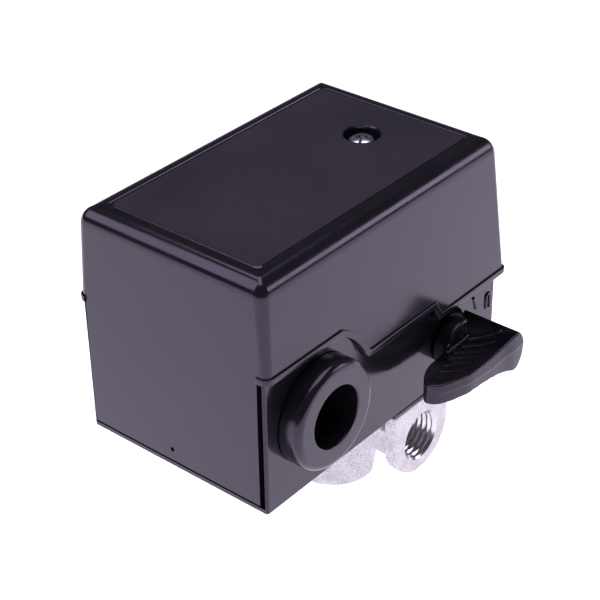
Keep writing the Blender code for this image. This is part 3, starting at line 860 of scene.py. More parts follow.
@dataclass
class Cover:
    """The moulded hood: drafted walls, a round-edged top with a grained panel, and a lip below."""

    line: PartingLine = field(default_factory=PartingLine)
    wall: float = 1.7
    top_thickness: float = 2.2
    fillet: float = 4.0
    foot_radius: float = 1.3
    radius_gain: float = 1.3
    tongue_foot: float = 1.8
    tongue_front: float = 3.4
    tongue_back: float = 2.4
    left_draft: float = 0.4
    right_draft: float = 3.4
    side_draft: float = 1.6
    screw_place: Point2 = (20.7, -1.2)
    counterbore_radius: float = 4.1
    counterbore_depth: float = 3.2
    counterbore_chamfer: float = 0.35
    screw_hole_radius: float = 2.4
    screw_boss_radius: float = 6.0
    screw_boss_foot: float = 50.8
    dimple_place: Point2 = (1.2, 4.65)
    dimple_radius: float = 0.55
    dimple_depth: float = 0.9
    lip_out: float = 0.4
    lip_height: float = 1.5

    def __post_init__(self) -> None:
        """Read the outer size from the CAD cover."""
        low, high = casing_box("cover")
        self.half_length = (high.x - low.x) / 2
        self.half_depth = (high.y - low.y) / 2
        self.height = high.z

    def share(self, z: float) -> float:
        """Give how far up the drafted walls a height is, from 0 at the lip to 1 at the top."""
        return max(0.0, (z - self.line.low) / (self.height - self.line.low))

    def corner_radius(self, z: float) -> float:
        """Give the corners' radius at a height."""
        return self.foot_radius + self.radius_gain * self.share(z)

    def outline(self, z: float, inset: float, radius: float | None = None) -> list[Point2]:
        """Give the hood's plan at a height.

        Args:
            z: The height.
            inset: How far inside the outer face it lies.
            radius: The corners' radius, if it isn't the drafted one.

        Returns:
            The points.
        """
        share = self.share(z)
        near = -self.half_depth + self.side_draft * share + inset
        low = (-self.half_length + self.left_draft * share + inset, near)
        high = (self.half_length - self.right_draft * share - inset, -near)
        return rounded_outline(low, high, radius or max(0.4, self.corner_radius(z) - inset))

    def shell(self) -> bmesh.types.BMesh:
        """Stack the outer skin: straight walls, the round top edge and the sunk panel's border."""
        below = self.height - self.fillet
        rings = [(z, self.outline(z, 0)) for z in (self.tongue_foot, self.line.low, 36.0, below)]
        steps = 12
        for step in range(1, steps + 1):
            angle = math.radians(90 * step / steps)
            z = below + self.fillet * math.sin(angle)
            rings.append((z, self.outline(z, self.fillet * (1 - math.cos(angle)))))
        border = [(0.0, 4.35), (0.05, 4.5), (0.24, 4.6), (0.28, 4.75), (0.24, 4.95), (0.10, 5.1), (0.07, 5.3)]
        for sunk, inset in border:
            rings.append((self.height - sunk, self.outline(self.height, inset, 1.3)))
        return lofted(rings)

    def lip_path(self) -> list[tuple[Vector, Vector]]:
        """Give the lip's line as points and outward directions, from the tongue right round to it again."""
        high = self.line.high
        outward = Vector((-1, 0, 0))
        front, back = self.corner_walk(high, -1), self.corner_walk(high, 1)
        start = Vector((front[0][0].x, -self.half_depth + self.tongue_front, high))
        end = Vector((back[0][0].x, self.half_depth - self.tongue_back, high))
        path = [(start, outward), *front, *self.face_walk(-1), *self.right_walk()]
        return path + [*reversed(self.face_walk(1)), *reversed(back), (end, outward)]

    def corner_walk(self, z: float, side: int) -> list[tuple[Vector, Vector]]:
        """Walk round a left corner from the end face to the front or back face.

        Args:
            z: The height of the walk.
            side: -1 for the front, 1 for the back.

        Returns:
            The points with their outward directions.
        """
        share, radius = self.share(z), self.corner_radius(z)
        centre_x = -self.half_length + self.left_draft * share + radius
        centre_y = self.half_depth - self.side_draft * share - radius
        walk = []
        for step in range(9):
            angle = math.radians(90 * step / 8)
            out = Vector((-math.cos(angle), side * math.sin(angle), 0))
            walk.append((Vector((centre_x, side * centre_y, z)) + radius * out, out))
        return walk

    def face_walk(self, side: int) -> list[tuple[Vector, Vector]]:
        """Walk along the front or back face under the stepped line, left to right."""
        walk = []
        last = self.half_length - self.corner_radius(self.line.low) - 1.0
        for x, z in self.line.points():
            if -self.half_length + 5.0 < x < last:
                y = side * (self.half_depth - self.side_draft * self.share(z))
                walk.append((Vector((x, y, z)), Vector((0, side, 0))))
        return walk

    def right_walk(self) -> list[tuple[Vector, Vector]]:
        """Walk round both right corners at the low line, front to back."""
        z = self.line.low
        radius = self.corner_radius(z)
        walk = []
        for side in (-1, 1):
            centre = Vector((self.half_length - radius, side * (self.half_depth - radius), z))
            steps = range(9) if side < 0 else range(8, -1, -1)
            for step in steps:
                angle = math.radians(90 * step / 8)
                out = Vector((math.sin(angle), side * math.cos(angle), 0))
                walk.append((centre + radius * out, out))
        return walk

    def lip(self) -> bmesh.types.BMesh:
        """Sweep the lip's round-edged section along its path, mitred where the line turns."""
        out, tall = self.lip_out, self.lip_height
        section = [(-0.6, 0.0), (out - 0.25, 0.0), (out - 0.07, 0.07), (out, 0.25)]
        section += [(out, tall - 0.22), (out - 0.06, tall - 0.06), (out - 0.2, tall), (-0.6, tall)]
        path = self.lip_path()
        places = [place for place, _ in path]
        sections = []
        for index, (place, outward) in enumerate(path):
            before = (place - places[index - 1]).normalized() if index else None
            after = (places[index + 1] - place).normalized() if index + 1 < len(path) else None
            ups = [self.upward(tangent, outward) for tangent in (before, after) if tangent]
            up = sum(ups, Vector())
            up.normalize()
            up /= max(0.5, up.dot(ups[0]))
            sections.append([place + a * outward + b * up for a, b in section])
        return swept(sections)

    @staticmethod
    def upward(tangent: Vector, outward: Vector) -> Vector:
        """Give the direction in the wall that is square to the line and points up."""
        up = tangent.cross(outward).normalized()
        return up if up.z > 0 else -up

    def build(self) -> None:
        """Make the hood and hang it on its body."""
        finish_depth = self.height - self.top_thickness
        cover = add_piece("cover_hood", self.shell(), POLISHED_ABS)
        cover.data.materials.append(GRAINED_ABS.build())
        for polygon in cover.data.polygons:
            flat = polygon.normal.z > 0.99
            polygon.material_index = int(flat and len(polygon.vertices) > 8)
        foot = add_piece("helper_foot", self.line.under())
        end_wall = -self.half_length + self.wall + 0.2
        low_y, high_y = -self.half_depth + self.tongue_front, self.half_depth - self.tongue_back
        combine(foot, Cut.REMOVE, block((-70, low_y, -30), (end_wall, high_y, 70)))
        heights = (self.tongue_foot - 1, self.line.low, finish_depth)
        inside = [(z, self.outline(z, self.wall)) for z in heights]
        combine(cover, Cut.REMOVE, lofted(inside), taken(foot))
        self.add_screw_boss(cover, finish_depth)
        self.add_tongue_dimple(cover)
        shade(cover)
        fit(cover, Body.COVER, Slot.COVER, "cover")
        lip = add_piece("cover_lip", self.lip(), POLISHED_ABS)
        shade(lip)
        fit(lip, Body.COVER, Slot.COVER)

    def add_screw_boss(self, cover: bpy.types.Object, ceiling: float) -> None:
        """Add the screw's boss under the top and sink its counterbore.

        Args:
            cover: The hood.
            ceiling: The height of the top's inner face.
        """
        place = (*self.screw_place, 0)
        seat = self.height - self.counterbore_depth
        radius, chamfer = self.counterbore_radius, self.counterbore_chamfer
        mouth = [(0, 60), (radius + 4.0, 60), (radius + 4.0, self.height + 4.0 - chamfer)]
        mouth += [(radius, self.height - chamfer), (radius, seat), (0, seat)]
        boss = rod(self.screw_boss_radius, self.screw_boss_foot, ceiling + 0.4, place)
        combine(cover, Cut.JOIN, boss)
        hole = rod(self.screw_hole_radius, 45, 60, place)
        combine(cover, Cut.REMOVE, turned(mouth, 64, place), hole)

    def add_tongue_dimple(self, cover: bpy.types.Object) -> None:
        """Sink the small locating dimple near the tongue's foot."""
        place = (-self.half_length, *self.dimple_place)
        dimple = rod(self.dimple_radius, -1.0, self.dimple_depth, place, (1, 0, 0))
        combine(cover, Cut.REMOVE, dimple)


@dataclass
class Base:
    """The lower moulding: floor, walls up to the cover's line, and the marks beside the lever."""

    line: PartingLine = field(default_factory=PartingLine)
    wall: float = 2.6
    floor: float = 3.0
    corner: float = 0.8
    foot_round: float = 0.4
    gap: float = 0.3
    rim_inset: float = 1.6
    rim_height: float = 2.7
    gland_place: Point2 = (-25.5, 18.5)
    gland_hole: float = 9.4
    spindle_place: Point2 = (21.5, 11.5)
    spindle_hole: float = 3.8
    inlet_x: float = 11.7
    screw_square: float = 14.0
    mark_radius: float = 0.42

    def __post_init__(self) -> None:
        """Read the outer size from the CAD base."""
        low, high = casing_box("base_housing")
        self.left = low.x
        self.half_length = high.x
        self.half_depth = (high.y - low.y) / 2

    def outline(self, inset: float, radius: float) -> list[Point2]:
        """Give the walls' plan without the ledge at the left end.

        Args:
            inset: How far inside the outer face it lies.
            radius: The corners' radius.

        Returns:
            The points.
        """
        low = (-self.half_length + inset, -self.half_depth + inset)
        return rounded_outline(low, (-low[0], -low[1]), radius)

    def skin(self, inset: float, radius: float) -> list[Point2]:
        """Give the outer plan, whose left end reaches out round the cover's tongue."""
        low = (self.left + inset, -self.half_depth + inset)
        return rounded_outline(low, (self.half_length - inset, -low[1]), radius)

    def block_out(self) -> bmesh.types.BMesh:
        """Stack the outer form with its rounded foot."""
        rings = []
        steps = 5
        for step in range(steps):
            angle = math.radians(90 * step / steps)
            inset = self.foot_round * (1 - math.sin(angle))
            rings.append((self.foot_round * (1 - math.cos(angle)), self.skin(inset, self.corner - inset)))
        rings += [(z, self.skin(0, self.corner)) for z in (self.foot_round, 45.0)]
        return lofted(rings)

    def marks(self) -> bmesh.types.BMesh:
        """Raise the off and on marks on the front wall: a long ring, a bar and an arc between."""
        y = -self.half_depth - 0.02
        ring = rounded_outline((36.9, 11.2), (38.4, 15.2), 0.7, 6)
        ring.append(ring[0])
        lines = [ring]
        lines.append([(25.6, 16.6), (25.6, 18.3)])
        lines.append(arc(self.spindle_place, 11.4, 28, 10, 6))
        whole = bmesh.new()
        for line in lines:
            path = [Vector((x, y, z)) for x, z in line]
            tube = tube_along(path, self.mark_radius)
            mesh = bpy.data.meshes.new("mark")
            tube.to_mesh(mesh)
            tube.free()
            whole.from_mesh(mesh)
            bpy.data.meshes.remove(mesh)
        return whole

    def build(self) -> None:
        """Make the base and its marks and hang them on the fixed body."""
        base = add_piece("base_moulding", self.block_out(), GLOSSY_ABS)
        half_l, half_d = self.half_length, self.half_depth
        combine(base, Cut.REMOVE, self.line.over(-self.gap))
        combine(base, Cut.REMOVE, block((-60, -half_d + 0.6, 1.2), (-half_l + 0.7, half_d - 0.6, 60)))
        rim_plan = self.outline(self.rim_inset, 1.6)
        rim = add_piece("helper_rim", prism(rim_plan, 44, Matrix.Translation((0, 0, 1))))
        combine(rim, Cut.REMOVE, self.line.over(self.rim_height))
        combine(base, Cut.JOIN, taken(rim))
        room = prism(self.outline(self.wall, 1.2), 60, Matrix.Translation((0, 0, self.floor)))
        glands = rod(self.gland_hole, -60, 60, (self.gland_place[0], 0, self.gland_place[1]), (0, 1, 0))
        spindle = rod(self.spindle_hole, -60, 0, (self.spindle_place[0], 0, self.spindle_place[1]), (0, 1, 0))
        combine(base, Cut.REMOVE, room, glands, spindle, rod(13.0, -5, 10, (self.inlet_x, 0, 0)))
        for sx in (-1, 1):
            for sy in (-1, 1):
                place = (self.inlet_x + sx * self.screw_square, sy * self.screw_square, 0)
                combine(base, Cut.REMOVE, rod(2.3, -5, 10, place))
        notch = block((-2.6, -half_d - 1, -1), (-0.2, -half_d + 0.4, 0.35))
        combine(base, Cut.REMOVE, notch)
        bevelled(base, 0.22)
        shade(base)
        fit(base, Body.SWITCH, Slot.BASE, "base_housing")
        marks = add_piece("lever_marks", self.marks(), GLOSSY_ABS)
        shade(marks)
        fit(marks, Body.SWITCH, Slot.BASE)


@dataclass
class CableGland:
    """A collar for the cable: a thick round-edged flange and a sleeve through the wall."""

    node: str
    direction: int
    bore: float = 7.2
    edge: float = 1.7
    sleeve: float = 9.0
    lip: float = 0.35

    def build(self) -> None:
        """Turn the collar and hang it on the fixed body."""
        low, high = casing_box(self.node)
        face = max(abs(low.y), abs(high.y))
        tail = min(abs(low.y), abs(high.y))
        edge = min(self.edge, face - Base().half_depth - 0.9)
        radius = (high.x - low.x) / 2
        wall = Base().half_depth + 0.3
        centre = ((low.x + high.x) / 2, 0, (low.z + high.z) / 2)
        profile = arc((self.bore + self.lip, face - self.lip), self.lip, 180, 90, 5)
        profile += arc((radius - edge, face - edge), edge, 90, 0, 10)
        profile += [(radius, wall), (self.sleeve, wall), (self.sleeve, tail), (self.bore, tail)]
        ring = turned(profile, 96, centre, (0, self.direction, 0))
        gland = add_piece(f"collar_{self.node}", ring, COLLAR_POLYAMIDE)
        shade(gland)
        fit(gland, Body.SWITCH, Slot.GLAND, self.node)


# --- lever -------------------------------------------------------------------------------------


@dataclass
class Lever:
    """The off and on lever: a dished thumb paddle with ribs, on a round hub with a spindle."""

    pivot: Point2 = (21.5, 11.5)
    near: float = -29.3
    outer: float = -41.4
    hub_side: float = -26.2
    hub_radius: float = 6.0
    spindle_radius: float = 3.4
    rib_places: tuple[tuple[float, float, float], ...] = (
        (0.3, -30.9, 7.4), (-2.7, -31.2, 7.4), (-5.7, -31.3, 7.2), (-8.6, -31.5, 6.8), (-11.4, -32.0, 6.0),
        (-14.0, -32.9, 4.8), (-16.6, -34.2, 3.2),
    )
    rib_width: float = 0.42
    rib_rise: float = 0.2
    voxel: float = 0.2
    top: tuple[Point2, ...] = (
        (-21.0, 1.8), (-11.5, 2.0), (-5.5, 2.4), (-0.5, 3.2), (3.5, 4.4), (5.7, 4.8),
    )
    end: tuple[Point2, ...] = ((6.9, 3.3), (7.5, 0.6), (7.2, -2.6), (5.3, -5.1))
    underside: tuple[Point2, ...] = ((2.0, -4.2), (-2.1, -3.4), (-8.1, -3.0), (-14.5, -3.3), (-21.0, -3.4))
    dish: tuple[Point2, ...] = ((-21.0, 0.2), (-12.0, 0.9), (-3.0, 1.7), (2.0, 1.9), (4.4, 1.1), (5.6, 0.0))
    outer_edge: tuple[Point2, ...] = (
        (-20.2, -34.3), (-19.7, -35.7), (-18.6, -36.9), (-16.3, -38.1), (-13.9, -39.0), (-11.2, -39.8),
        (-7.8, -40.1), (-0.5, -40.6), (4.2, -41.3), (9.0, -41.4),
    )
    near_edge: tuple[Point2, ...] = (
        (-20.2, -34.3), (-19.2, -32.9), (-17.3, -31.6), (-14.8, -30.4), (-12.4, -29.8), (-9.6, -29.5),
        (-6.6, -29.3),
    )

    def side(self) -> list[Point2]:
        """Give the paddle's outline from the front, measured from the pivot."""
        top = smooth_line(self.top, 6)
        end = smooth_line((self.top[-1], *self.end, self.underside[0]), 5)
        under = smooth_line(self.underside, 5)
        return top + end[1:-1] + under

    def plan(self) -> list[Point2]:
        """Give the paddle's outline from above: a tongue that tapers to a blunt, slanted free end."""
        outer = list(reversed(smooth_line(self.outer_edge, 4)))
        near = smooth_line(self.near_edge, 4)[1:]
        return [(9.0, self.hub_side), *outer, *near, (-5.4, self.near), (-4.4, self.hub_side)]

    def rim(self, x: float) -> float:
        """Give the height of the paddle's outer rim."""
        return read_line(self.smooth_top, x)

    def thumb(self, x: float, y: float) -> float:
        """Give the height of the dished thumb surface, which meets the rim along the outer face."""
        share = (self.near - y) / (self.near - read_line(self.outer_edge, x) - 0.4)
        share = min(1.0, max(0.0, share))
        return self.rim(x) - read_line(self.smooth_dish, x) * (1 - share**2)

    def dish_cutter(self, rise: float = 0.0) -> bmesh.types.BMesh:
        """Make the shape over the thumb surface, as a net of small faces under a flat lid.

        Args:
            rise: How far over the thumb surface it starts.

        Returns:
            The closed shape.
        """
        columns = [-23.0 + 0.5 * i for i in range(58)]
        rows = [self.outer + 0.2 + 0.5 * i for i in range(32)]
        bm = bmesh.new()
        floor = [[bm.verts.new((x, y, self.thumb(x, y) + rise)) for y in rows] for x in columns]
        lid = [[bm.verts.new((x, y, 12.0)) for y in rows] for x in columns]
        for net in (floor, lid):
            for a, b in zip(net, net[1:]):
                for i in range(len(rows) - 1):
                    bm.faces.new((a[i], a[i + 1], b[i + 1], b[i]))
        for a, b in zip(range(len(columns)), range(1, len(columns))):
            for i in (0, len(rows) - 1):
                bm.faces.new((floor[a][i], floor[b][i], lid[b][i], lid[a][i]))
        for i in range(len(rows) - 1):
            for a in (0, len(columns) - 1):
                bm.faces.new((floor[a][i], floor[a][i + 1], lid[a][i + 1], lid[a][i]))
        bmesh.ops.recalc_face_normals(bm, faces=bm.faces)
        return bm

    def scoop_plan(self) -> list[Point2]:
        """Give the scoop's outline from above, which stops at the hub and bites into its right side."""
        bite = arc((6.5, -31.5), 5.5, 75, 165, 14)
        return [
            (-23.0, -28.0), (-23.0, self.outer + 0.25), (8.0, self.outer + 0.25), *bite, (-6.0, -30.05),
            (-6.5, -28.0),
        ]

    def ribs(self) -> list[bmesh.types.BMesh]:
        """Lay the ribs over the thumb surface, slanting outwards to the right."""
        made = []
        for start_x, start_y, length in self.rib_places:
            path = []
            for step in range(15):
                x = start_x + 0.57 * length * step / 14
                y = start_y - 0.82 * length * step / 14
                path.append(Vector((x, y, self.thumb(x, y) - self.rib_width / 2 + self.rib_rise)))
            made.append(tube_along(path, self.rib_width / 2, 10))
        return made

    def placed(self, bm: bmesh.types.BMesh) -> bmesh.types.BMesh:
        """Move a shape from the pivot's frame to the casing's."""
        bmesh.ops.translate(bm, vec=(self.pivot[0], 0, self.pivot[1]), verts=bm.verts)
        return bm

    def draft(self, obj: bpy.types.Object) -> None:
        """Give the outer face its draft both ways from the parting line, with a hair of mismatch there."""
        slope, step = 0.05, 0.10
        for vertex in obj.data.vertices:
            place = DATUM.to_casing(vertex.co)
            x, z = place.x - self.pivot[0], place.z - self.pivot[1]
            outer = read_line(self.outer_edge, x)
            if place.y > outer + 3.0:
                continue
            parting = read_line(((-21.0, -0.6), (-3.0, -0.5), (7.0, 1.2)), x)
            share = min(1.0, (outer + 3.0 - place.y) / 1.2)
            shift = slope * abs(z - parting) - (step if z > parting else 0.0)
            vertex.co.y += share * shift * MM

    def build(self) -> None:
        """Model the lever in one moulding and hang it on its body."""
        self.smooth_top = smooth_line(self.top, 6)
        self.smooth_dish = smooth_line(self.dish, 6)
        wall = Base().half_depth
        lever = add_piece("lever_paddle", self.placed(along_y(self.side(), -60, -20)), LEVER_POLYAMIDE)
        combine(lever, Cut.KEEP_COMMON, self.placed(prism(self.plan(), 60, Matrix.Translation((0, 0, -30)))))
        radius = self.hub_radius
        hub = [(0, 4.6), (radius - 0.5, 4.6), (radius, 4.1), (radius, 0.3), (0, 0.3)]
        combine(lever, Cut.JOIN, self.placed(turned(hub, 64, (0, -wall, 0), (0, -1, 0))))
        scoop = add_piece("helper_scoop", self.placed(self.dish_cutter()))
        scoop_prism = prism(self.scoop_plan(), 60, Matrix.Translation((0, 0, -30)))
        combine(scoop, Cut.KEEP_COMMON, self.placed(scoop_prism))
        combine(lever, Cut.REMOVE, taken(scoop))
        for rib in self.ribs():
            combine(lever, Cut.JOIN, self.placed(rib))
        spindle = rod(self.spindle_radius, wall - 7.0, wall + 1.0, (0, 0, 0), (0, -1, 0))
        combine(lever, Cut.JOIN, self.placed(spindle))
        as_cast(lever, self.voxel, 4)
        self.draft(lever)
        lever.data.shade_smooth()
        fit(lever, Body.LEVER, Slot.LEVER, "lever")


# --- manifold ----------------------------------------------------------------------------------


@dataclass
class Manifold:
    """The die-cast four-way fitting under the casing, with tapped ports."""

    centre_x: float = 11.7
    foot: float = -31.0
    port_z: float = -10.7
    boss_width: float = 20.4
    boss_thickness: float = 3.0
    inlet_flats: float = 20.0
    turned_radius: float = 11.1
    drilling_radius: float = 3.5
    flange_half: float = 18.5
    flange_corner: float = 5.0
    flange_thickness: float = 4.2
    boss_top: float = -0.3
    boss_drop: float = 9.4
    neck: float = 15.0
    pitch: float = 1.41
    minor: float = 5.3
    crest: float = 0.78
    mouth: float = 6.3
    port_depth: float = 13.0
    voxel: float = 0.4

    def reach(self, side: Side) -> float:
        """Give how far a port's face lies from the fitting's axis."""
        low, high = casing_box("manifold")
        return {Side.FRONT: -low.y, Side.BACK: high.y, Side.RIGHT: high.x - self.centre_x}[side]

    def turn(self, side: Side) -> Matrix:
        """Give the matrix that turns an arm built towards -Y to its own side."""
        return Matrix.Translation((self.centre_x, 0, 0)) @ Matrix.Rotation(math.radians(side.value), 4, "Z")

    def boss_outline(self) -> list[Point2]:
        """Give a port boss from outside: straight sides and a round lower end."""
        half = self.boss_width / 2
        foot = self.port_z - self.boss_drop
        return [(half, self.boss_top), (-half, self.boss_top), *arc((0, foot + half), half, 180, 360, 28)]

    def arm(self, side: Side) -> list[bmesh.types.BMesh]:
        """Make one side arm: an eight-sided neck and the port's boss."""
        reach = self.reach(side)
        radius = self.neck / 2 / math.cos(math.pi / 8)
        neck = [(x, z + self.port_z) for x, z in arc((0, 0), radius, 22.5, 337.5, 7)]
        boss = along_y(self.boss_outline(), -reach, -reach + self.boss_thickness)
        shapes = [along_y(neck, -reach + 2, 0), boss]
        for bm in shapes:
            bmesh.ops.transform(bm, matrix=self.turn(side), verts=bm.verts)
        return shapes

    def axis(self, side: Side) -> tuple[float, float, float]:
        """Give a port's outward direction."""
        angle = math.radians(side.value)
        return math.sin(angle), -math.cos(angle), 0.0

    def bore(self, reach: float, at: Sequence[float], axis: Sequence[float]) -> bmesh.types.BMesh:
        """Make the cutter for a tapped port and the passage behind it.

        Args:
            reach: How far out the port's face lies.
            at: The point that the reach is measured from.
            axis: The port's outward direction.

        Returns:
            The closed shape.
        """
        back = reach - self.port_depth
        profile = [(0, reach + 2), (self.mouth, reach + 2), (self.mouth, back)]
        profile += [(3.0, back - 1.5), (3.0, 0), (0, 0)]
        return turned(profile, 64, at, axis)

    def thread(self, reach: float, at: Sequence[float], axis: Sequence[float]) -> bmesh.types.BMesh:
        """Make the tapped wall of a port, whose groove winds in at the thread's pitch.

        Args:
            reach: How far out the port's face lies.
            at: The point that the reach is measured from.
            axis: The port's outward direction.

        Returns:
            The closed shape.
        """
        around, per_turn = 72, 10
        count = int(self.port_depth / self.pitch * per_turn)
        rings = []
        for row in range(count + 1):
            depth = self.port_depth * row / count
            ring = []
            for step in range(around):
                angle = 2 * math.pi * step / around
                phase = (depth / self.pitch - step / around) % 1.0
                tooth = abs(2 * phase - 1)
                tooth = min(0.88, max(0.10, tooth))
                radius = max(self.minor + self.crest * tooth, self.mouth - 0.95 * depth)
                ring.append((radius * math.cos(angle), radius * math.sin(angle)))
            rings.append((reach - depth, ring))
        sleeve = self.mouth + 0.25
        shell = [(sleeve * math.cos(2 * math.pi * i / around), sleeve * math.sin(2 * math.pi * i / around))
                 for i in range(around)]
        rings.append((reach - self.port_depth, shell))
        rings.append((reach - 0.3, shell))
        rings.append(rings[0])
        bm = bmesh.new()
        loops = [[bm.verts.new((x, y, z)) for x, y in outline] for z, outline in rings[:-1]]
        loops.append(loops[0])
        for lower, upper in zip(loops, loops[1:]):
            for i in range(around):
                j = (i + 1) % around
                bm.faces.new((lower[i], lower[j], upper[j], upper[i]))
        turn_towards(bm, axis)
        bmesh.ops.translate(bm, vec=at, verts=bm.verts)
        return bm

    def build(self) -> None:
        """Cast the fitting, bore it, and fit the tapped walls."""
        centre = (self.centre_x, 0, 0)
        foot = self.foot
        corner = self.inlet_flats / 2 / math.cos(math.pi / 6)
        flats = [(self.centre_x + x, y) for x, y in arc((0, 0), corner, 30, 330, 5)]
        hexagon = prism(flats, -foot, Matrix.Translation((0, 0, foot - 4.0)))
        casting = add_piece("manifold_casting", hexagon, DIE_CAST)
        radius = self.turned_radius
        profile = [(0, -3.0), (radius, -3.0), (radius - 0.1, foot + 1.9)]
        profile += [(radius - 0.5, foot + 1.0), (radius - 1.5, foot), (0, foot)]
        combine(casting, Cut.KEEP_COMMON, turned(profile, 96, centre))
        half = self.flange_half
        low, high = (self.centre_x - half, -half), (self.centre_x + half, half)
        flange = rounded_outline(low, high, self.flange_corner)
        plate = prism(flange, self.flange_thickness, Matrix.Translation((0, 0, -6.0)))
        combine(casting, Cut.JOIN, plate)
        for side in Side:
            combine(casting, Cut.JOIN, *self.arm(side))
        as_cast(casting, self.voxel, 3)
        combine(casting, Cut.REMOVE, rod(self.drilling_radius, foot - 1, 5, centre))
        threads = [self.thread(-foot, centre, (0, 0, -1))]
        combine(casting, Cut.REMOVE, self.bore(-foot, centre, (0, 0, -1)))
        for side in Side:
            at = (self.centre_x, 0, self.port_z)
            combine(casting, Cut.REMOVE, self.bore(self.reach(side), at, self.axis(side)))
            threads.append(self.thread(self.reach(side), at, self.axis(side)))
        shade(casting, 40)
        fit(casting, Body.SWITCH, Slot.CAST, "manifold")
        names = ("inlet", "front", "right", "back")
        for name, thread in zip(names, threads):
            tapped = add_piece(f"thread_{name}", thread, TAPPED)
            shade(tapped, 50)
            fit(tapped, Body.SWITCH, Slot.CAST)


# --- fasteners and springs ---------------------------------------------------------------------


@dataclass
class CoverScrew:
    """The zinc-plated pan-head screw that holds the cover, with a combined cross and slot recess."""

    head_radius: float = 2.9
    head_height: float = 2.2
    shank_radius: float = 1.9

    def build(self) -> None:
        """Turn the screw, sink its recess and hang it on the cover."""
        low, high = casing_box("cover_screw")
        centre = ((low.x + high.x) / 2, (low.y + high.y) / 2, 0)
        top = high.z
        seat = top - self.head_height
        dome = [(self.head_radius * math.sin(a), top - 0.9 * (1 - math.cos(a)))
                for a in (math.radians(90 * i / 10) for i in range(11))]
        profile = [*dome, (self.head_radius, seat + 0.1), (self.head_radius - 0.15, seat)]
        profile += [(self.shank_radius, seat), (self.shank_radius, low.z), (0, low.z)]
        screw = add_piece("cover_screw_zinc", turned(profile, 64, centre), ZINC_PLATE)
        for index in range(2):
            spin = Matrix.Rotation(math.radians(28 + 90 * index), 4, "Z")
            turn = Matrix.Translation((centre[0], centre[1], 0)) @ spin
            long, wide, depth = (2.75, 0.34, 0.85) if index == 0 else (1.75, 0.40, 1.3)
            wing = [(-long, -wide), (long, -wide), (long, wide), (-long, wide)]
            foot = [(0.45 * x, 0.8 * y) for x, y in wing] if index else [(0.97 * x, y) for x, y in wing]
            cutter = lofted([(top - depth, foot), (top + 0.4, wing)])
            bmesh.ops.transform(cutter, matrix=turn, verts=cutter.verts)
            combine(screw, Cut.REMOVE, cutter)
        bevelled(screw, 0.06, 1, 40)
        shade(screw)
        fit(screw, Body.COVER, Slot.ZINC, "cover_screw")


@dataclass
class Spring:
    """A compression spring with one closed turn at each end."""

    node: str
    mean_radius: float
    wire_radius: float
    keep: float
    turns: float = 7.5

    def build(self) -> None:
        """Wind the spring and hang it on the fixed body."""
        low, high = casing_box(self.node)
        centre = Vector(((low.x + high.x) / 2, (low.y + high.y) / 2, 0))
        bottom, top = low.z + self.wire_radius, high.z - self.wire_radius
        closed = 2 * self.wire_radius / (top - bottom)
        per_turn = 36
        path = []
        for i in range(int(self.turns * per_turn) + 1):
            turn = i / per_turn
            if turn < 1:
                share = closed * turn
            elif turn > self.turns - 1:
                share = 1 - closed * (self.turns - turn)
            else:
                share = closed + (1 - 2 * closed) * (turn - 1) / (self.turns - 2)
            angle = 2 * math.pi * turn
            around = Vector((math.cos(angle), math.sin(angle), 0)) * self.mean_radius
            path.append(centre + around + Vector((0, 0, bottom + (top - bottom) * share)))
        spring = add_piece(f"{self.node}_wire", tube_along(path, self.wire_radius, 14), SPRING_WIRE)
        spring.data.shade_smooth()
        fit(spring, Body.SWITCH, Slot.SPRING, self.node)
        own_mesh(spring)


@dataclass
class Mechanism:
    """The pieces inside the casing, which keep their CAD shapes and get their real finishes."""

    finishes: dict[str, Finish] = field(default_factory=lambda: {
        "diaphragm": NITRILE,
        "piston": TURNED_ALUMINIUM,
        "mechanism_frame": PRESSED_SHEET,
        "rocker_beam": PRESSED_SHEET,
        "terminal_block": MOULDED_PHENOLIC,
        "contact_carrier": MOULDED_PHENOLIC,
        "lever_cam": MOULDED_PHENOLIC,
        "contact_bridge": ROLLED_COPPER,
        "contact_plate": BLANKED_BRASS,
        "earth_screw": BLANKED_BRASS,
        "pivot_clip": SPRING_WIRE,
        "lever_clip": SPRING_WIRE,
    })

    def finish_of(self, node: str) -> Finish:
        """Give the finish of a node, which is bright zinc where the table doesn't name it."""
        for start, finish in self.finishes.items():
            if node.startswith(start):
                return finish
        return ZINC_PLATE

    def dress(self) -> None:
        """Give every CAD node its finish, its round faces a smooth shade and its edges a small break."""
        for name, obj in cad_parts.items():
            obj.data.materials.clear()
            obj.data.materials.append(self.finish_of(name).build())
            obj.data.shade_smooth()
            obj.data.set_sharp_from_angle(angle=math.radians(32))
            if not obj.hide_render:
                edges = obj.modifiers.new("edges", "BEVEL")
                edges.width = 0.12 * MM
                edges.segments = 2
                edges.angle_limit = math.radians(40)
                weights = obj.modifiers.new("flats", "WEIGHTED_NORMAL")
                weights.keep_sharp = True
            log.info("%s: %s", name, self.finish_of(name).name)


# --- studio ------------------------------------------------------------------------------------


@dataclass
class Softbox:
    """A soft light: its direction from the casing, its distance and size in metres, and its power."""

    name: str
    direction: tuple[float, float, float]
    distance: float
    size: Point2
    power: float
    colour: str = "#ffffff"

    def build(self, aim: Vector) -> None:
        """Hang the light so that it faces the aim.

        Args:
            aim: The point that it faces.
        """
        lamp = bpy.data.lights.new(self.name, "AREA")
        lamp.shape = "RECTANGLE"
        lamp.size, lamp.size_y = self.size
        lamp.energy = self.power
        lamp.color = linear(self.colour)[:3]
        obj = bpy.data.objects.new(self.name, lamp)
        bpy.context.scene.collection.objects.link(obj)
        away = Vector(self.direction).normalized()
        obj.location = aim + away * self.distance
        obj.rotation_euler = away.to_track_quat("Z", "Y").to_euler()


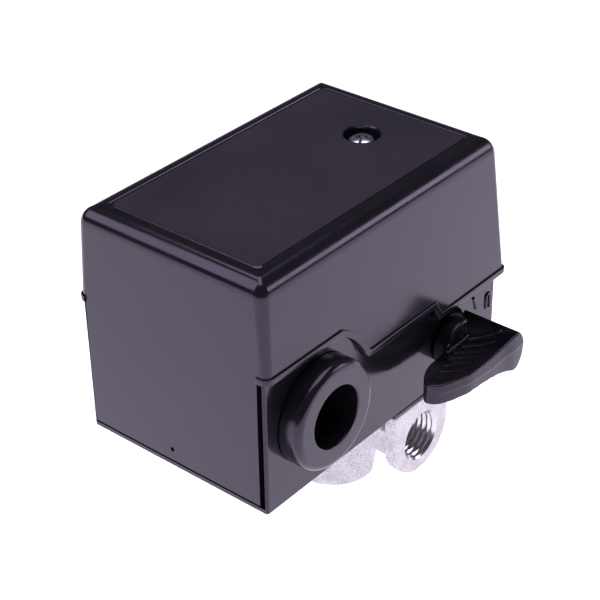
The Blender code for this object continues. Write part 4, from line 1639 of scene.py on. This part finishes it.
@dataclass
class Studio:
    """Pale floor, soft lights and the camera."""

    azimuth: float = -49.8
    elevation: float = 32.7
    roll: float = -1.0
    distance: float = 0.3757
    lens: float = 100.2
    aim: tuple[float, float, float] = (-0.01175, 0.00006, 0.0531)
    floor_half: float = 3.0
    floor_colour: str = "#f4f2f7"
    floor_glow: float = 1.0
    glow_colour: str = "#f8f3ff"
    softboxes: tuple[Softbox, ...] = (
        Softbox("overhead_softbox", (0.05, 0.05, 1.0), 1.0, (0.95, 0.95), 8.0, "#fbf6ff"),
        Softbox("left_softbox", (-0.56, 0.54, 0.63), 1.0, (0.50, 0.70), 3.0, "#f6f0ff"),
        Softbox("right_softbox", (0.72, -0.62, 0.30), 1.1, (0.5, 0.3), 2.0, "#f6f0ff"),
    )

    def camera_matrix(self) -> Matrix:
        """Give the camera's place: on its bearing, facing the aim, with a slight roll."""
        a, e, r = (math.radians(v) for v in (self.azimuth, self.elevation, self.roll))
        back = Vector((math.sin(a) * math.cos(e), -math.cos(a) * math.cos(e), math.sin(e)))
        right = Vector((math.cos(a), math.sin(a), 0))
        up = back.cross(right)
        rolled_right = right * math.cos(r) + up * math.sin(r)
        rolled_up = up * math.cos(r) - right * math.sin(r)
        matrix = Matrix((rolled_right, rolled_up, back)).transposed().to_4x4()
        matrix.translation = Vector(self.aim) + back * self.distance
        return matrix

    def build_camera(self) -> None:
        """Add the camera and make it the scene's."""
        data = bpy.data.cameras.new("camera")
        data.lens = self.lens
        data.sensor_width = 36.0
        data.clip_start = 0.01
        camera = bpy.data.objects.new("camera", data)
        bpy.context.scene.collection.objects.link(camera)
        camera.matrix_world = self.camera_matrix()
        bpy.context.scene.camera = camera

    def build_floor(self) -> None:
        """Lay the pale floor under the object."""
        low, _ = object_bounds()
        bm = bmesh.new()
        bmesh.ops.create_grid(bm, x_segments=8, y_segments=8, size=self.floor_half)
        mesh = bpy.data.meshes.new("floor")
        bm.to_mesh(mesh)
        bm.free()
        floor = bpy.data.objects.new("floor", mesh)
        bpy.context.scene.collection.objects.link(floor)
        floor.location.z = low[2]
        colour = self.floor_colour
        paper = Finish("paper_matt", colour, colour, 200.0, (0.85, 0.9), 50.0, 1.0, 0.001)
        lit = paper.build()
        shader = lit.node_tree.nodes["Principled BSDF"]
        shader.inputs["Emission Color"].default_value = linear(self.glow_colour)
        shader.inputs["Emission Strength"].default_value = self.floor_glow
        mesh.materials.append(lit)
        floor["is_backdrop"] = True

    def build_world(self) -> None:
        """Fill the room with a dim even light."""
        world = bpy.data.worlds.new("room")
        world.use_nodes = True
        background = world.node_tree.nodes["Background"]
        background.inputs["Color"].default_value = linear("#d9d5e6")
        background.inputs["Strength"].default_value = 0.10
        bpy.context.scene.world = world
        bpy.context.scene.view_settings.view_transform = "Standard"

    def build(self) -> None:
        """Set up the camera, floor, room and lights."""
        self.build_camera()
        self.build_floor()
        self.build_world()
        for softbox in self.softboxes:
            softbox.build(Vector(self.aim))


def main() -> None:
    """Build the pieces in order round the frame and set up the studio."""
    logging.basicConfig(level=logging.INFO, format="%(message)s")
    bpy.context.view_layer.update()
    Studio().build()
    Cover().build()
    Base().build()
    CableGland("cable_gland_front", -1).build()
    CableGland("cable_gland_back", 1).build()
    Lever().build()
    Manifold().build()
    CoverScrew().build()
    Spring("range_spring", 7.0, 1.1, 0.907).build()
    Spring("differential_spring", 3.3, 0.6, 0.979).build()
    Mechanism().dress()


if __name__ == "__main__":
    main()
